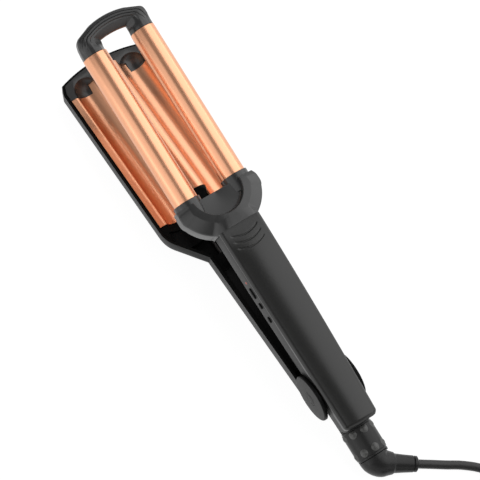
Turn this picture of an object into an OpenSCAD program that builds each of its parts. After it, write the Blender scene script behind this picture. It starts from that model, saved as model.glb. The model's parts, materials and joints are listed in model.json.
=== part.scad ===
// Hair waver. Two heated barrels on the upper arm close into a waved plate on the lower arm.
// Both arms turn on one pin at the cord end and stand open on a spring. +Y points to the tip,
// +Z up, and the open tool lies on its lower jaw and its cord sleeve, on the plane Z = 0.

/* [Barrels] */
// Diameter of each heated barrel
barrel_d = 20; // [17:0.5:22]
// Distance between the two barrel axes
barrel_pitch = 42; // [41:0.5:45]
// Length of barrel that shows between its collars
barrel_len = 130; // [100:5:150]
// Wall of a barrel tube
barrel_wall = 1.2; // [0.8:0.1:1.6]
// How far the arched tip handle reaches past the barrels
bridge_reach = 22.7; // [20:0.5:26]
// How far the gap inside the tip handle reaches past the barrels
window_reach = 9.4; // [8.4:0.2:11]

/* [Wave plate] */
// Gap for the hair between a barrel and its trough
hair_gap = 1.2; // [0.8:0.1:1.6]
// Thickness of the wave plate
plate_t = 1.4; // [1:0.1:1.8]
// Height of the barrel axes above the plate's flat lips when closed
lip_drop = 4; // [3:0.25:5]
/* [Lower jaw] */
// Width of the lower jaw
jaw_w = 79.4; // [78:0.2:86]
// Depth of the lower jaw from its rim to its flat bottom
jaw_depth = 17; // [16:0.5:20]
// Wall of the lower housing
shell_wall = 2.3; // [2:0.1:2.8]
// Reach of the lower jaw's nose past the troughs
nose_reach = 22; // [20:0.5:26]

/* [Arms] */
// Angle between the arms when the spring holds them open
open_angle = 13; // [9:0.5:14]
// Length of the handle from the hinge pin to the neck
handle_len = 136; // [120:2:160]
// Length of the neck from the handle to the bare barrels
neck_len = 36; // [34:1:42]
// Width of the lower arm
arm_w = 36.8; // [35.8:0.2:38]
// Depth of the lower arm's channel
arm_depth = 16; // [14.5:0.5:17]

/* [Upper handle] */
// Width of the upper handle at the neck
handle_w = 35; // [33:0.5:36]
// Width of the upper handle at the cord end
tail_w = 28.4; // [27:0.2:29]
// Height of the upper handle
handle_h = 23; // [21:0.5:26]
// Width of the front cover let into the handle
cover_w = 28; // [24:0.5:29]
// Wall of the handle shells
handle_wall = 2.2; // [1.8:0.1:2.5]
// Width of the neck where it holds the barrels
neck_w = 68.8; // [68:0.4:74]
// Radius of the scoop in the neck's face
scoop_r = 19.6; // [16:0.4:22]

/* [Hinge] */
// Diameter of the hinge pin
pin_d = 5; // [4:0.25:6]
// Radius of the round cheeks at the hinge
cheek_r = 19; // [18.5:0.25:20]
// Thickness of a hinge cheek
cheek_t = 2.7; // [2.4:0.1:3.2]

/* [Buttons] */
// Length of the power button
power_len = 9; // [7:0.5:10]
// Diameter of the two heat buttons
heat_button_d = 5; // [4:0.25:6]
// How far a button moves when pressed
button_travel = 0.8; // [0.4:0.1:1]

/* [Cord end] */
// Diameter of the sleeve that holds the swivel
sleeve_d = 26; // [24:0.5:27]
// Length of the sleeve behind the handle
sleeve_len = 26; // [22:1:32]
// Angle of the swivel's elbow
elbow_angle = 57; // [45:1:60]
// Length of the elbow's arm
relief_len = 30; // [26:1:36]
// Diameter of the strain relief at its open end
relief_d = 12; // [11:0.5:13]

/* [Cord] */
// Diameter of the cord
cord_d = 6.8; // [6.4:0.1:7]
// Turns in each of the coil's two layers
coil_turns = 3; // [2:1:4]
// Length of a plug pin
plug_pin_len = 19; // [17:0.5:20]

/* [Hidden] */
$fn = 48;

// Colours
black_gloss = [0.06, 0.06, 0.065];
black_matte = [0.16, 0.16, 0.16];
black_satin = [0.24, 0.24, 0.24];
copper = [0.86, 0.58, 0.44];
steel = [0.75, 0.76, 0.78];
brass = [0.80, 0.66, 0.32];
heat_white = [0.88, 0.87, 0.82];
board_green = [0.10, 0.33, 0.18];
wire_red = [0.62, 0.10, 0.08];

// Heights and lengths below are measured from the hinge pin with the arms closed.
hinge_drop = 4;                        // barrel axes above the hinge pin
touch = 0.02;                          // overlap that joins two shapes of one piece
run_gap = 0.05;                        // radial clearance of a running fit
seam = 0.15;                           // gap along a seam
side = [-1, 1];

barrel_r = barrel_d / 2;
half_pitch = barrel_pitch / 2;
neck_end = handle_len + neck_len;      // where the bare barrels start
barrel_end = neck_end + barrel_len;    // where they end

trough_r = barrel_r + hair_gap;
ridge_r = half_pitch - trough_r;
lip_z = hinge_drop - lip_drop;
lip_x = half_pitch + sqrt(pow(trough_r, 2) - pow(lip_drop, 2));
rim_z = lip_z - 2;
jaw_bottom = rim_z - jaw_depth;
jaw_hw = jaw_w / 2;
plate_hw = jaw_hw - shell_wall - 0.2;
plate_start = neck_end + 3;
ridge_start = neck_end + 12;
ridge_end = barrel_end + window_reach - 1.4;
prow_len = 20.5;                       // black wedge that ends the ridge
nose_end = barrel_end + nose_reach;
floor_z = jaw_bottom + shell_wall;

arm_hw = arm_w / 2;
arm_top = jaw_bottom + arm_depth;
cheek_x = tail_w / 2 + 1.8;            // inner face of a cheek
cheek_edge = 1.2;
knuckle_r = 14.6;
neck_r = 24;                           // round where the jaw narrows to the arm
neck_turn = 36;                        // angle of that round
jaw_back_x = arm_hw - 0.4;

handle_bottom = hinge_drop - 2;
handle_top = handle_bottom + handle_h;
handle_end = -33;
round_top = 5;
round_low = 4;
// The cover's seam runs from its width at the neck down the sides to the cord end.
cover_front_z = handle_top - round_top
    + sqrt(pow(round_top, 2) - pow(cover_w / 2 - handle_w / 2 + round_top, 2));
cover_back_z = handle_top - 10;
neck_hw = neck_w / 2;
neck_tip = neck_end - 4;
collar_r = barrel_r + 1.2;
cup_r = collar_r + 1.6;                // housings round the collars
collar_start = neck_end - 14;
cup_start = neck_end - 12;
cup_end = neck_end - 5;
scoop_y = neck_tip - 0.4;
scoop_z = hinge_drop + barrel_r - 2;

sleeve_r = sleeve_d / 2;
sleeve_z = -2.5;
sleeve_start = handle_end - 1.7;
sleeve_end = sleeve_start - sleeve_len + 0.6;
sleeve_chamfer = 1;
spigot_r = 9.6;
core_r = 8.4;
elbow_y = sleeve_end - 6;
relief_r = relief_d / 2;
spring_r = 7.2;
spring_wire = 1.6;

button_z = (handle_bottom + handle_top) / 2 + 0.5;
power_y = 0.647 * handle_len;
heat_up_y = power_y - 11;
heat_down_y = power_y - 23;
status_y = power_y + 9;

// The open tool touches the ground under its nose and under the sleeve's rear edge.
touch_tip_y = nose_end - 6;
touch_sleeve = [sleeve_end + sleeve_chamfer, sleeve_z - sleeve_r];
touch_y = touch_sleeve[0] * cos(open_angle) - touch_sleeve[1] * sin(open_angle);
touch_z = touch_sleeve[0] * sin(open_angle) + touch_sleeve[1] * cos(open_angle);
rest_tilt = atan2(touch_z - jaw_bottom, touch_tip_y - touch_y);
upper_tilt = rest_tilt + open_angle;
hinge_z = -(touch_tip_y * sin(rest_tilt) + jaw_bottom * cos(rest_tilt));
relief_tip = [relief_len * sin(elbow_angle), elbow_y - relief_len * cos(elbow_angle), sleeve_z];
back_reach = (relief_tip[1] - relief_r * sin(elbow_angle)) * cos(upper_tilt)
    - sleeve_z * sin(upper_tilt);
front_reach = nose_end * cos(rest_tilt) - rim_z * sin(rest_tilt);
hinge_y = -(front_reach + back_reach) / 2;

// ---- helpers ----

// Lower arm's frame: hinge pin at the origin, arm along +Y
module lower_frame() {
    translate([0, hinge_y, hinge_z]) rotate([rest_tilt, 0, 0]) children();
}

// Upper arm's frame, opened by the spring
module upper_frame() {
    translate([0, hinge_y, hinge_z]) rotate([upper_tilt, 0, 0]) children();
}

// Extrudes an X-Z outline from y0 to y1
module along_y(y0, y1) {
    translate([0, y1, 0]) rotate([90, 0, 0]) linear_extrude(y1 - y0) children();
}

// Cylinder along Y
module rod_y(r, y0, y1) {
    translate([0, y0, 0]) rotate([-90, 0, 0]) cylinder(r = r, h = y1 - y0);
}

// Cylinder along X
module rod_x(r, x0, x1) {
    translate([x0, 0, 0]) rotate([0, 90, 0]) cylinder(r = r, h = x1 - x0);
}

// Box between two corners
module box(a, b) {
    translate(a) cube(b - a);
}

function arc(c, r, a0, a1, n) = [for (i = [0 : n])
    [c[0] + r * cos(a0 + (a1 - a0) * i / n), c[1] + r * sin(a0 + (a1 - a0) * i / n)]];

function mirror_x(pts) = concat(pts, [for (i = [len(pts) - 1 : -1 : 0]) [-pts[i][0], pts[i][1]]]);

// Thin slice of a rounded box across the handle, for a hull
module slice(y, hw, z0, z1, rt, rb) {
    translate([0, y, 0]) rotate([90, 0, 0]) linear_extrude(0.02) for (s = side) {
        translate([s * (hw - rt), z1 - rt]) circle(rt, $fn = 32);
        translate([s * (hw - rb), z0 + rb]) circle(rb, $fn = 32);
    }
}

// ---- lower arm ----

// Plan of the lower jaw: straight sides, chamfered corners, arched nose, drawn in to the arm
nose_corner = [jaw_hw - 3, nose_end - 6.4];
nose_sag = nose_end - nose_corner[1];
nose_r = (pow(nose_corner[0], 2) + pow(nose_sag, 2)) / (2 * nose_sag);
nose_angle = asin(nose_corner[0] / nose_r);
neck_line = (jaw_hw - neck_r + neck_r * cos(neck_turn) - jaw_back_x) / sin(neck_turn);
jaw_back_y = neck_end - neck_r * sin(neck_turn) - neck_line * cos(neck_turn);
jaw_outline = mirror_x(concat(
    [[jaw_back_x, jaw_back_y]],
    arc([jaw_hw - neck_r, neck_end], neck_r, -neck_turn, 0, 8),
    [[jaw_hw, barrel_end + 8]],
    arc([0, nose_end - nose_r], nose_r, 90 - nose_angle, 90, 8)));

module jaw_plan(inset) {
    offset(delta = -inset) polygon(jaw_outline);
}

// Boat-shaped solid with a rounded bottom edge
module boat(inset, top) {
    low = jaw_bottom + inset;
    hull() {
        translate([0, 0, low + 7]) linear_extrude(top - low - 7) jaw_plan(inset);
        translate([0, 0, low + 3.6]) linear_extrude(0.02) jaw_plan(inset + 1);
        translate([0, 0, low + 1.2]) linear_extrude(0.02) jaw_plan(inset + 3.2);
        translate([0, 0, low]) linear_extrude(0.02) jaw_plan(inset + 6);
    }
}

// Channel of the lower arm, as an X-Z outline
module arm_section(hw, z0, z1, r) {
    translate([-hw, z0 + r]) square([2 * hw, z1 - z0 - r]);
    translate([-hw + r, z0]) square([2 * hw - 2 * r, r + touch]);
    for (s = side) translate([s * (hw - r), z0 + r]) circle(r);
}

// Round cheek beside the hinge, its outer edge rounded
module cheek(s) {
    mirror([s < 0 ? 1 : 0, 0, 0]) translate([cheek_x, 0, 0]) rotate([0, 90, 0]) rotate_extrude($fn = 96) {
        square([cheek_r - cheek_edge, cheek_t]);
        square([cheek_r, cheek_t - cheek_edge]);
        translate([cheek_r - cheek_edge, cheek_t - cheek_edge]) circle(cheek_edge);
    }
}

arm_screws = [60, handle_len - 18];
jaw_screw_x = half_pitch - 3;
jaw_screws = [plate_start + 25, barrel_end - 20];
screw_spots = concat([for (y = arm_screws) [0, y]],
    [for (y = jaw_screws) for (s = side) [s * jaw_screw_x, y]]);
screw_head_r = 2.7;
screw_head_t = 1.3;
screw_r = 1.45;
screw_len = 7;

module lower_housing() {
    cap_hole_r = pin_d / 2 + 3.1;
    color(black_gloss) lower_frame() difference() {
        union() {
            boat(0, rim_z);
            along_y(-4, jaw_back_y + 12) arm_section(arm_hw, jaw_bottom, arm_top, 5);
            for (s = side) cheek(s);
        }
        boat(shell_wall, rim_z + 5);
        along_y(-5, jaw_back_y + 20)
            arm_section(arm_hw - shell_wall, floor_z, arm_top + 30, 3);
        rod_x(pin_d / 2 + run_gap / 2, -arm_w, arm_w);
        for (s = side) translate([s * (cheek_x + cheek_t), 0, 0])
            rod_x(cap_hole_r, -1.3, 1.3);
        for (p = screw_spots) translate([p[0], p[1], jaw_bottom - 1]) {
            cylinder(r = screw_head_r + 0.2, h = screw_head_t + 1.4);
            cylinder(r = screw_r + 0.3, h = 8);
        }
    }
}

// Section of the waved sheet, lips left out
module wave_section() {
    for (s = side) {
        intersection() {
            translate([s * half_pitch, hinge_drop]) difference() {
                circle(trough_r + plate_t, $fn = 96);
                circle(trough_r, $fn = 96);
            }
            union() {
                translate([s > 0 ? 0 : -half_pitch, hinge_drop - 20]) square([half_pitch, 20]);
                translate([s > 0 ? half_pitch - touch : -half_pitch - 30 + touch, lip_z - 30])
                    square([30, 30]);
            }
        }
    }
    intersection() {
        translate([0, hinge_drop]) difference() {
            circle(ridge_r, $fn = 96);
            circle(ridge_r - plate_t, $fn = 96);
        }
        translate([-30, hinge_drop - touch]) square([60, 30]);
    }
}

module wave_plate() {
    color(copper) lower_frame() difference() {
        union() {
            along_y(plate_start, ridge_end) wave_section();
            for (s = side) along_y(plate_start, barrel_end)
                translate([s > 0 ? lip_x : -plate_hw, lip_z - plate_t])
                    square([plate_hw - lip_x, plate_t]);
        }
        // the troughs stop short of the ridge at the tip
        for (s = side) translate([s > 0 ? half_pitch - 3.3 : -50 - half_pitch + 3.3, barrel_end, -40])
            cube([50, 50, 80]);
        // and the ridge stops short of the troughs at the neck, in a wedge
        translate([0, 0, -40]) linear_extrude(80)
            polygon([[-ridge_r - 1, ridge_start], [ridge_r + 1, ridge_start],
                [ridge_r + 1, ridge_start - 1], [0, ridge_start - prow_len],
                [-ridge_r - 1, ridge_start - 1]]);
    }
}

// Black nose of the lower jaw: fills its tip and has a rounded bed for each barrel's end
module jaw_nose() {
    bed = trough_r + 0.4;
    color(black_satin) lower_frame() difference() {
        intersection() {
            boat(shell_wall + 0.1, lip_z);
            box([-60, barrel_end + 0.2, -60], [60, nose_end, 60]);
        }
        for (s = side) translate([s * half_pitch, 0, hinge_drop]) {
            rod_y(bed, barrel_end - 1, barrel_end + 2);
            translate([0, barrel_end + 2, 0]) sphere(bed, $fn = 64);
        }
        box([-half_pitch + 3.1, barrel_end, -60], [half_pitch - 3.1, ridge_end + 0.3, 60]);
        box([-60, barrel_end, -60], [60, barrel_end + 12, floor_z + 3.5]);
    }
}

// Black block behind the troughs, with beds for the collars and a wedge that ends the ridge
module jaw_end_block() {
    block_y0 = neck_end - 20;
    block_y1 = plate_start - 0.3;
    color(black_satin) lower_frame() {
        difference() {
            intersection() {
                boat(shell_wall + 0.1, lip_z - 1.4);
                box([-60, block_y0, -60], [60, block_y1, 60]);
            }
            for (s = side) translate([s * half_pitch, 0, hinge_drop]) {
                rod_y(cup_r + 1.3, block_y0 - 1, cup_end + 1.4);
                rod_y(trough_r + 0.8, block_y0 - 1, block_y1 + 1);
            }
            box([-16, block_y0 - 1, floor_z - 1], [16, block_y1 + 1, floor_z + 4]);
        }
        intersection() {
            along_y(ridge_start - prow_len, ridge_start - 0.2) {
                translate([0, hinge_drop]) circle(ridge_r - 0.1, $fn = 96);
                translate([-ridge_r + 1.6, -6]) square([2 * ridge_r - 3.2, 6 + hinge_drop]);
            }
            translate([0, 0, -6]) linear_extrude(40) polygon([[-ridge_r + 0.6, ridge_start],
                [ridge_r - 0.6, ridge_start], [0, ridge_start - prow_len + 1.2]]);
            rotate([0, 90, 0]) translate([0, 0, -20]) linear_extrude(40)
                polygon([[6, ridge_start], [-hinge_drop - ridge_r, ridge_start],
                    [-hinge_drop - ridge_r, ridge_start - 1], [1.4, ridge_start - prow_len + 3],
                    [6, ridge_start - prow_len + 3]]);
        }
    }
}

// Heat-proof tray under the wave plate
module plate_carrier() {
    y0 = plate_start + 10;
    y1 = barrel_end - 2;
    color(heat_white) lower_frame() difference() {
        union() {
            box([-half_pitch - 9, y0, floor_z], [half_pitch + 9, y1, lip_z - plate_t - 2]);
            box([-6.6, y0, floor_z], [6.6, y1, hinge_drop - 2]);
        }
        for (s = side) translate([s * half_pitch, 0, hinge_drop])
            rod_y(trough_r + plate_t + 0.05, y0 - 1, y1 + 1);
        for (s = side) box([s > 0 ? 8 : -half_pitch - 6, y0 + 14, floor_z - 1],
            [s > 0 ? half_pitch + 6 : -8, y1 - 14, floor_z + 3]);
        // hollow under the rib
        box([-4.4, y0 + 8, floor_z - 1], [4.4, y1 - 8, lip_z - 2]);
        for (i = [2 : 5]) translate([screw_spots[i][0], screw_spots[i][1], floor_z - 1])
            cylinder(r = screw_r + run_gap, h = 8);
    }
}

module plate_heater() {
    half = 5.4;
    top = hinge_drop + sqrt(pow(ridge_r - plate_t, 2) - pow(half, 2)) - 0.3;
    color(steel) lower_frame()
        box([-half, plate_start + 25, hinge_drop - 2], [half, barrel_end - 18, top]);
}

// Bead that feels the plate's heat, in the tray beside the rib
module plate_sensor() {
    color(brass) lower_frame()
        translate([0, plate_start + 22, hinge_drop - 2 + 1.6]) rod_x(1.6, -3.5, 3.5);
}

// Soft stop near the end of the liner
bumper_r = 4;
bumper_y = jaw_back_y - 8.3;

// Dark liner in the lower arm's channel, over the wires
module arm_liner() {
    hw = arm_hw - shell_wall - 0.3;
    top = floor_z + 7;
    color(black_matte) lower_frame() difference() {
        along_y(26, jaw_back_y + 2) {
            translate([-hw, floor_z + 3]) square([2 * hw, 4]);
            translate([-hw + 3.2, floor_z]) square([2 * hw - 6.4, 5]);
        }
        along_y(20, jaw_back_y + 10) {
            translate([-8, floor_z - 1]) square([16, 6]);
        }
        for (i = [0 : 1]) translate([screw_spots[i][0], screw_spots[i][1], floor_z - 1])
            cylinder(r = screw_r + run_gap, h = 7);
        // finger groove that lightens it
        box([-hw + 3, 34, top - 1.2], [hw - 3, bumper_y - bumper_r, top + 1]);
    }
    color(black_matte) lower_frame() for (i = [0 : 1]) difference() {
        translate([screw_spots[i][0], screw_spots[i][1], floor_z])
            cylinder(r = 3.4, h = 5.1);
        translate([screw_spots[i][0], screw_spots[i][1], floor_z - 1])
            cylinder(r = screw_r + run_gap, h = 7);
    }
}

module jaw_leads() {
    color(wire_red) lower_frame() for (s = side)
        translate([s * 5.6, 0, floor_z + 1.15]) rod_y(1.1, 22, plate_start + 6);
}

module lower_screws() {
    color(steel) lower_frame() for (p = screw_spots) translate([p[0], p[1], jaw_bottom + 0.4]) difference() {
        union() {
            cylinder(r = screw_head_r, h = screw_head_t);
            translate([0, 0, screw_head_t - touch]) cylinder(r = screw_r, h = screw_len);
        }
        for (a = [0, 90]) rotate([0, 0, a]) translate([-1.6, -0.3, -1]) cube([3.2, 0.6, 1.7]);
    }
}

// Soft block that stops the arms as they close
module closing_bumper() {
    color(black_matte) lower_frame() translate([0, bumper_y, floor_z + 7])
        cylinder(r = bumper_r, h = handle_bottom - floor_z - 7 - 0.3);
}

// ---- hinge ----

module hinge_pin() {
    color(steel) upper_frame() rod_x(pin_d / 2, -cheek_x - cheek_t + 1.4, cheek_x + cheek_t - 1.4);
}

module hinge_cap(s) {
    color(black_satin) lower_frame() mirror([s < 0 ? 1 : 0, 0, 0]) translate([cheek_x + cheek_t, 0, 0])
        rod_x(pin_d / 2 + 3, -1.25, 0);
}

module left_hinge_cap() {
    hinge_cap(-1);
}

module right_hinge_cap() {
    hinge_cap(1);
}

// Torsion spring round the pin: a helix of round wire with one leg in each arm
spring_turns = 5;
spring_pitch = 2;

module opening_spring() {
    pts = [for (i = [0 : spring_turns * 16])
        [-spring_turns * spring_pitch / 2 + spring_pitch * i / 16,
            spring_r * cos(22.5 * i), spring_r * sin(22.5 * i)]];
    color(steel) upper_frame() tube(pts, spring_wire / 2, 6, [1, 0, 0]);
}

// Closed tube of n sides through the points. Each ring stands square to the path.
module tube(pts, r, n, up) {
    last = len(pts) - 1;
    dirs = [for (i = [0 : last]) let (d = pts[min(i + 1, last)] - pts[max(i - 1, 0)]) d / norm(d)];
    rings = [for (i = [0 : last]) let (
        a = cross(dirs[i], up) / norm(cross(dirs[i], up)),
        b = cross(dirs[i], a))
        [for (k = [0 : n - 1]) pts[i] + r * (a * cos(360 * k / n) + b * sin(360 * k / n))]];
    verts = [for (g = rings) each g];
    walls = [for (i = [0 : last - 1]) for (k = [0 : n - 1]) let (
        p = i * n + k, q = i * n + (k + 1) % n)
        each [[p, q, q + n], [p, q + n, p + n]]];
    first_end = [for (k = [1 : n - 2]) [0, k + 1, k]];
    last_end = [for (k = [1 : n - 2]) [last * n, last * n + k, last * n + k + 1]];
    polyhedron(verts, [for (f = concat(walls, first_end, last_end)) [f[0], f[2], f[1]]]);
}

// ---- upper arm ----

// Half width and top of the handle at a place along it, narrowing to the cord end
function along(y) = min(1, max(0, (y - handle_end) / (handle_len - handle_end)));
function taper(y) = 1 - pow(1 - along(y), 1.7);
function handle_hw(y) = tail_w / 2 + (handle_w - tail_w) / 2 * taper(y);
function handle_high(y) = handle_top - 2.5 * (1 - taper(y));

module handle_solid(inset) {
    hull() {
        for (t = [0 : 0.25 : 1]) {
            y = (handle_end + 2) * (1 - t) + (handle_len + (inset > 0 ? 1 : 0)) * t;
            slice(y, handle_hw(y) - inset, handle_bottom + inset, handle_high(y) - inset,
                round_top - inset, round_low - inset);
        }
        slice(handle_end - 1.5 + inset, tail_w / 2 - 2.4 - inset, handle_bottom + 1.6 + inset,
            handle_high(handle_end) - 2 - inset, round_top - inset, round_low - inset);
    }
}

// Room for the cover: its width at the top, and all above its seam
module cover_room(gap) {
    box([-cover_w / 2 - gap, handle_end - 10, handle_top - round_top - gap],
        [cover_w / 2 + gap, handle_len + 2, 60]);
    rotate([90, 0, 90]) translate([0, 0, -30]) linear_extrude(60)
        polygon([[handle_end - 10, cover_back_z - gap], [handle_len + 2, cover_front_z - gap],
            [handle_len + 2, 60], [handle_end - 10, 60]]);
}

button_spots = [power_y, heat_up_y, heat_down_y];
cover_screws = [20, handle_len - 24];

// Under shell of the upper handle, with the knuckle that turns on the pin
module handle_shell() {
    knuckle_hw = cheek_x - 0.35;
    color(black_satin) upper_frame() difference() {
        union() {
            difference() {
                handle_solid(0);
                handle_solid(handle_wall);
                cover_room(0);
            }
            // knuckle round the pin, and the tail that holds the sleeve
            intersection() {
                rod_x(knuckle_r, -knuckle_hw, knuckle_hw);
                box([-knuckle_hw, -knuckle_r, -knuckle_r], [knuckle_hw, knuckle_r, handle_bottom + 3]);
            }
            translate([0, 0, sleeve_z]) rod_y(sleeve_r - 1.2, sleeve_start + seam, -10);
            box([-10, handle_end, sleeve_z + 2], [10, -10, handle_bottom + 3]);
            for (y = cover_screws) translate([0, y, handle_bottom + 1]) cylinder(r = 3.6, h = 9);
        }
        rod_x(pin_d / 2 + run_gap, -30, 30);
        // pocket of the spring
        rod_x(spring_r + 1.4, -7, 7);
        box([-7, 0, -18], [7, spring_r + 1.4, 0]);
        // bore of the sleeve's spigot, and the way for the cord's cores
        translate([0, 0, sleeve_z]) rod_y(spigot_r + 0.1, sleeve_start - 1, -16);
        box([-4, -22, 0], [4, -10.5, 12]);
        for (y = button_spots) button_hole(y, 0.2);
        translate([-40, status_y, button_z]) rod_x(1.2 + 0.05, 0, 40);
        for (y = cover_screws) translate([0, y, handle_bottom - 1]) {
            cylinder(r = screw_head_r + 0.2, h = 5.1);
            cylinder(r = screw_r + 0.2, h = 20);
        }
    }
}

// Front cover, a matte lid with grip rings near the neck
module handle_cover() {
    color(black_matte) upper_frame() difference() {
        union() {
            intersection() {
                difference() {
                    handle_solid(0);
                    handle_solid(handle_wall);
                }
                cover_room(-seam);
            }
            for (y = cover_screws) translate([0, y, handle_bottom + 10.2])
                cylinder(r = 3.4, h = handle_high(y) - handle_wall - handle_bottom - 10.2 + 0.3);
        }
        for (i = [0 : 2]) grip_ring(handle_len - 8 - 5.2 * i);
        for (y = cover_screws) translate([0, y, handle_bottom + 8])
            cylinder(r = screw_r + run_gap, h = 10);
        box([-40, handle_len - seam, -40], [40, handle_len + 10, 60]);
    }
}

// Shallow groove across the cover
module grip_ring(y) {
    translate([0, y, handle_top + 0.25]) rod_x(0.75, -cover_w / 2 + 2.5, cover_w / 2 - 2.5);
}

module neck_solid(inset) {
    hull() {
        slice(handle_len + inset / 2, handle_w / 2 - inset, handle_bottom + inset,
            handle_top - inset, round_top - inset, round_low - inset);
        slice(neck_end - 15, neck_hw - inset, 0.6 + inset, handle_top - 4 - inset,
            6 - inset, round_low - inset);
        slice(neck_end - 9, neck_hw - inset, 0.6 + inset, handle_top - 5.4 - inset,
            6 - inset, round_low - inset);
        slice(neck_tip - inset, neck_hw - 3 - inset, 1.2 + inset, handle_top - 7 - inset,
            6 - inset, round_low - inset);
    }
}

neck_split = hinge_drop + 7;

// Bores that hold the two collars
module collar_bores(gap) {
    for (s = side) translate([s * half_pitch, 0, hinge_drop])
        rod_y(collar_r + gap, collar_start, neck_end + collar_r);
}

module neck_base() {
    color(black_satin) upper_frame() difference() {
        union() {
            intersection() {
                neck_solid(0);
                box([-60, handle_len + seam, -20], [60, neck_end, neck_split]);
            }
            for (s = side) translate([s * half_pitch, 0, hinge_drop]) intersection() {
                rod_y(cup_r, cup_start, cup_end);
                box([-30, 0, -30], [30, 400, neck_split - hinge_drop]);
            }
        }
        difference() {
            neck_solid(handle_wall);
            box([-60, collar_start - 6, -60], [60, neck_end, 60]);
        }
        collar_bores(run_gap);
        // way for the wires from the handle into the barrels
        for (s = side) translate([s * half_pitch, 0, hinge_drop])
            rod_y(barrel_r - 2.6, collar_start - 8, neck_end);
        box([-8, handle_len - 1, handle_bottom + 3], [8, handle_len + 6, neck_split + 1]);
    }
}

// Face of the neck: a raised U-shaped rim round a scoop
module neck_cover() {
    color(black_matte) upper_frame() difference() {
        intersection() {
            neck_solid(0);
            box([-60, handle_len + seam, neck_split + seam], [60, neck_end, 60]);
        }
        difference() {
            neck_solid(handle_wall);
            box([-60, handle_len + 14, -60], [60, neck_end, 60]);
        }
        collar_bores(run_gap);
        translate([0, scoop_y, scoop_z]) rotate([-6, 0, 0]) cylinder(r = scoop_r, h = 40, $fn = 96);
    }
}

module barrel(s) {
    color(copper) upper_frame() translate([s * half_pitch, 0, hinge_drop]) difference() {
        rod_y(barrel_r, collar_start + 2, barrel_end);
        rod_y(barrel_r - barrel_wall, collar_start, barrel_end + 1);
    }
}

module left_barrel() {
    barrel(-1);
}

module right_barrel() {
    barrel(1);
}

module collar(s) {
    color(black_satin) upper_frame() translate([s * half_pitch, 0, hinge_drop]) difference() {
        rod_y(collar_r, collar_start, neck_end);
        rod_y(barrel_r + run_gap, collar_start + 1.9, neck_end + 1);
        rod_y(barrel_r - 3, collar_start - 1, neck_end + 1);
    }
}

module left_collar() {
    collar(-1);
}

module right_collar() {
    collar(1);
}

// Arched cool handle that joins the two barrels at the tip
bridge_low = hinge_drop - 1.5;
bridge_high = hinge_drop + barrel_r - 0.6;
bridge_end = barrel_end + bridge_reach;
bridge_hw = half_pitch + barrel_r - 0.3;
bridge_corner = [bridge_hw - 2.2, bridge_end - 7.6];
bridge_sag = bridge_end - bridge_corner[1];
bridge_r = (pow(bridge_corner[0], 2) + pow(bridge_sag, 2)) / (2 * bridge_sag);
bridge_angle = asin(bridge_corner[0] / bridge_r);
window_hw = half_pitch - barrel_r + 0.5;
window_end = barrel_end + window_reach;

module tip_bridge() {
    color(black_satin) upper_frame() {
        difference() {
            translate([0, 0, bridge_low]) linear_extrude(bridge_high - bridge_low)
                polygon(mirror_x(concat([[bridge_hw - 0.3, barrel_end + 8]],
                    arc([0, bridge_end - bridge_r], bridge_r, 90 - bridge_angle, 90, 10))));
            translate([0, window_end - 60, 0]) cylinder(r = 60, h = 60, center = true, $fn = 180);
        }
        for (s = side) difference() {
            hull() {
                translate([s * half_pitch, 0, hinge_drop]) {
                    rod_y(barrel_r - 0.3, barrel_end + seam, barrel_end + 2);
                    rod_y(barrel_r - 1, barrel_end + 4, barrel_end + 4.1);
                    rod_y(barrel_r - 3, barrel_end + 7, barrel_end + 7.1);
                }
                box([s > 0 ? window_hw : -bridge_hw, barrel_end + 7, bridge_low],
                    [s > 0 ? bridge_hw : -window_hw, barrel_end + 10, bridge_high]);
            }
            // joined to the arch above, so nothing is cut here but the seat
            translate([s * half_pitch, 0, hinge_drop]) rod_y(5, barrel_end - 1, barrel_end + 3);
        }
        for (s = side) translate([s * half_pitch, 0, hinge_drop])
            rod_y(barrel_r - barrel_wall - run_gap, barrel_end - 6, barrel_end + 3.5);
    }
}

// Aluminium core that spreads the heat in a barrel, slotted for the heater
core_y0 = neck_end - 4;
core_y1 = barrel_end - 8;
module heat_core(s) {
    color(steel) upper_frame() translate([s * half_pitch, 0, hinge_drop]) difference() {
        rod_y(barrel_r - barrel_wall - run_gap, core_y0, core_y1);
        box([-5.6, core_y0 - 1, -2.1], [5.6, core_y1 + 1, 2.1]);
        for (t = side) translate([0, 0, t * 5.2]) rod_y(2.4, core_y0 - 1, core_y1 + 1);
    }
}

module left_heat_core() {
    heat_core(-1);
}

module right_heat_core() {
    heat_core(1);
}

module heater(s) {
    color(heat_white) upper_frame() translate([s * half_pitch, 0, hinge_drop])
        box([-5.4, core_y0 + 4, -2.1], [5.4, core_y1 - 6, 2]);
}

module left_heater() {
    heater(-1);
}

module right_heater() {
    heater(1);
}

module barrel_sensors() {
    color(brass) upper_frame() for (s = side) translate([s * half_pitch, 0, hinge_drop - 1.0])
        rod_y(1.1, core_y0 - 0.6, core_y0 + 3.8);
}

// Round or long hole in the left wall of the handle for a button
module button_hole(y, gap) {
    translate([-40, y, button_z]) button_bar(y, gap, 40);
}

module button_bar(y, gap, h) {
    if (y == power_y) {
        for (t = side) translate([0, t * (power_len - heat_button_d) / 2, 0])
            rod_x(heat_button_d / 2 + gap, 0, h);
        box([0, -(power_len - heat_button_d) / 2, -heat_button_d / 2 - gap],
            [h, (power_len - heat_button_d) / 2, heat_button_d / 2 + gap]);
    } else {
        rod_x(heat_button_d / 2 + gap, 0, h);
    }
}

button_rise = button_travel + 0.25;    // how far a button stands out of the wall
module button(y) {
    x = handle_hw(y);
    color(black_gloss) upper_frame() {
        translate([-x - button_rise, y, button_z])
            button_bar(y, 0, button_rise + handle_wall + 0.6);
        translate([-x + handle_wall + 0.3, y, button_z]) button_bar(y, 0.9, 0.8);
    }
}

module power_button() {
    button(power_y);
}

module heat_up_button() {
    button(heat_up_y);
}

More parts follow.
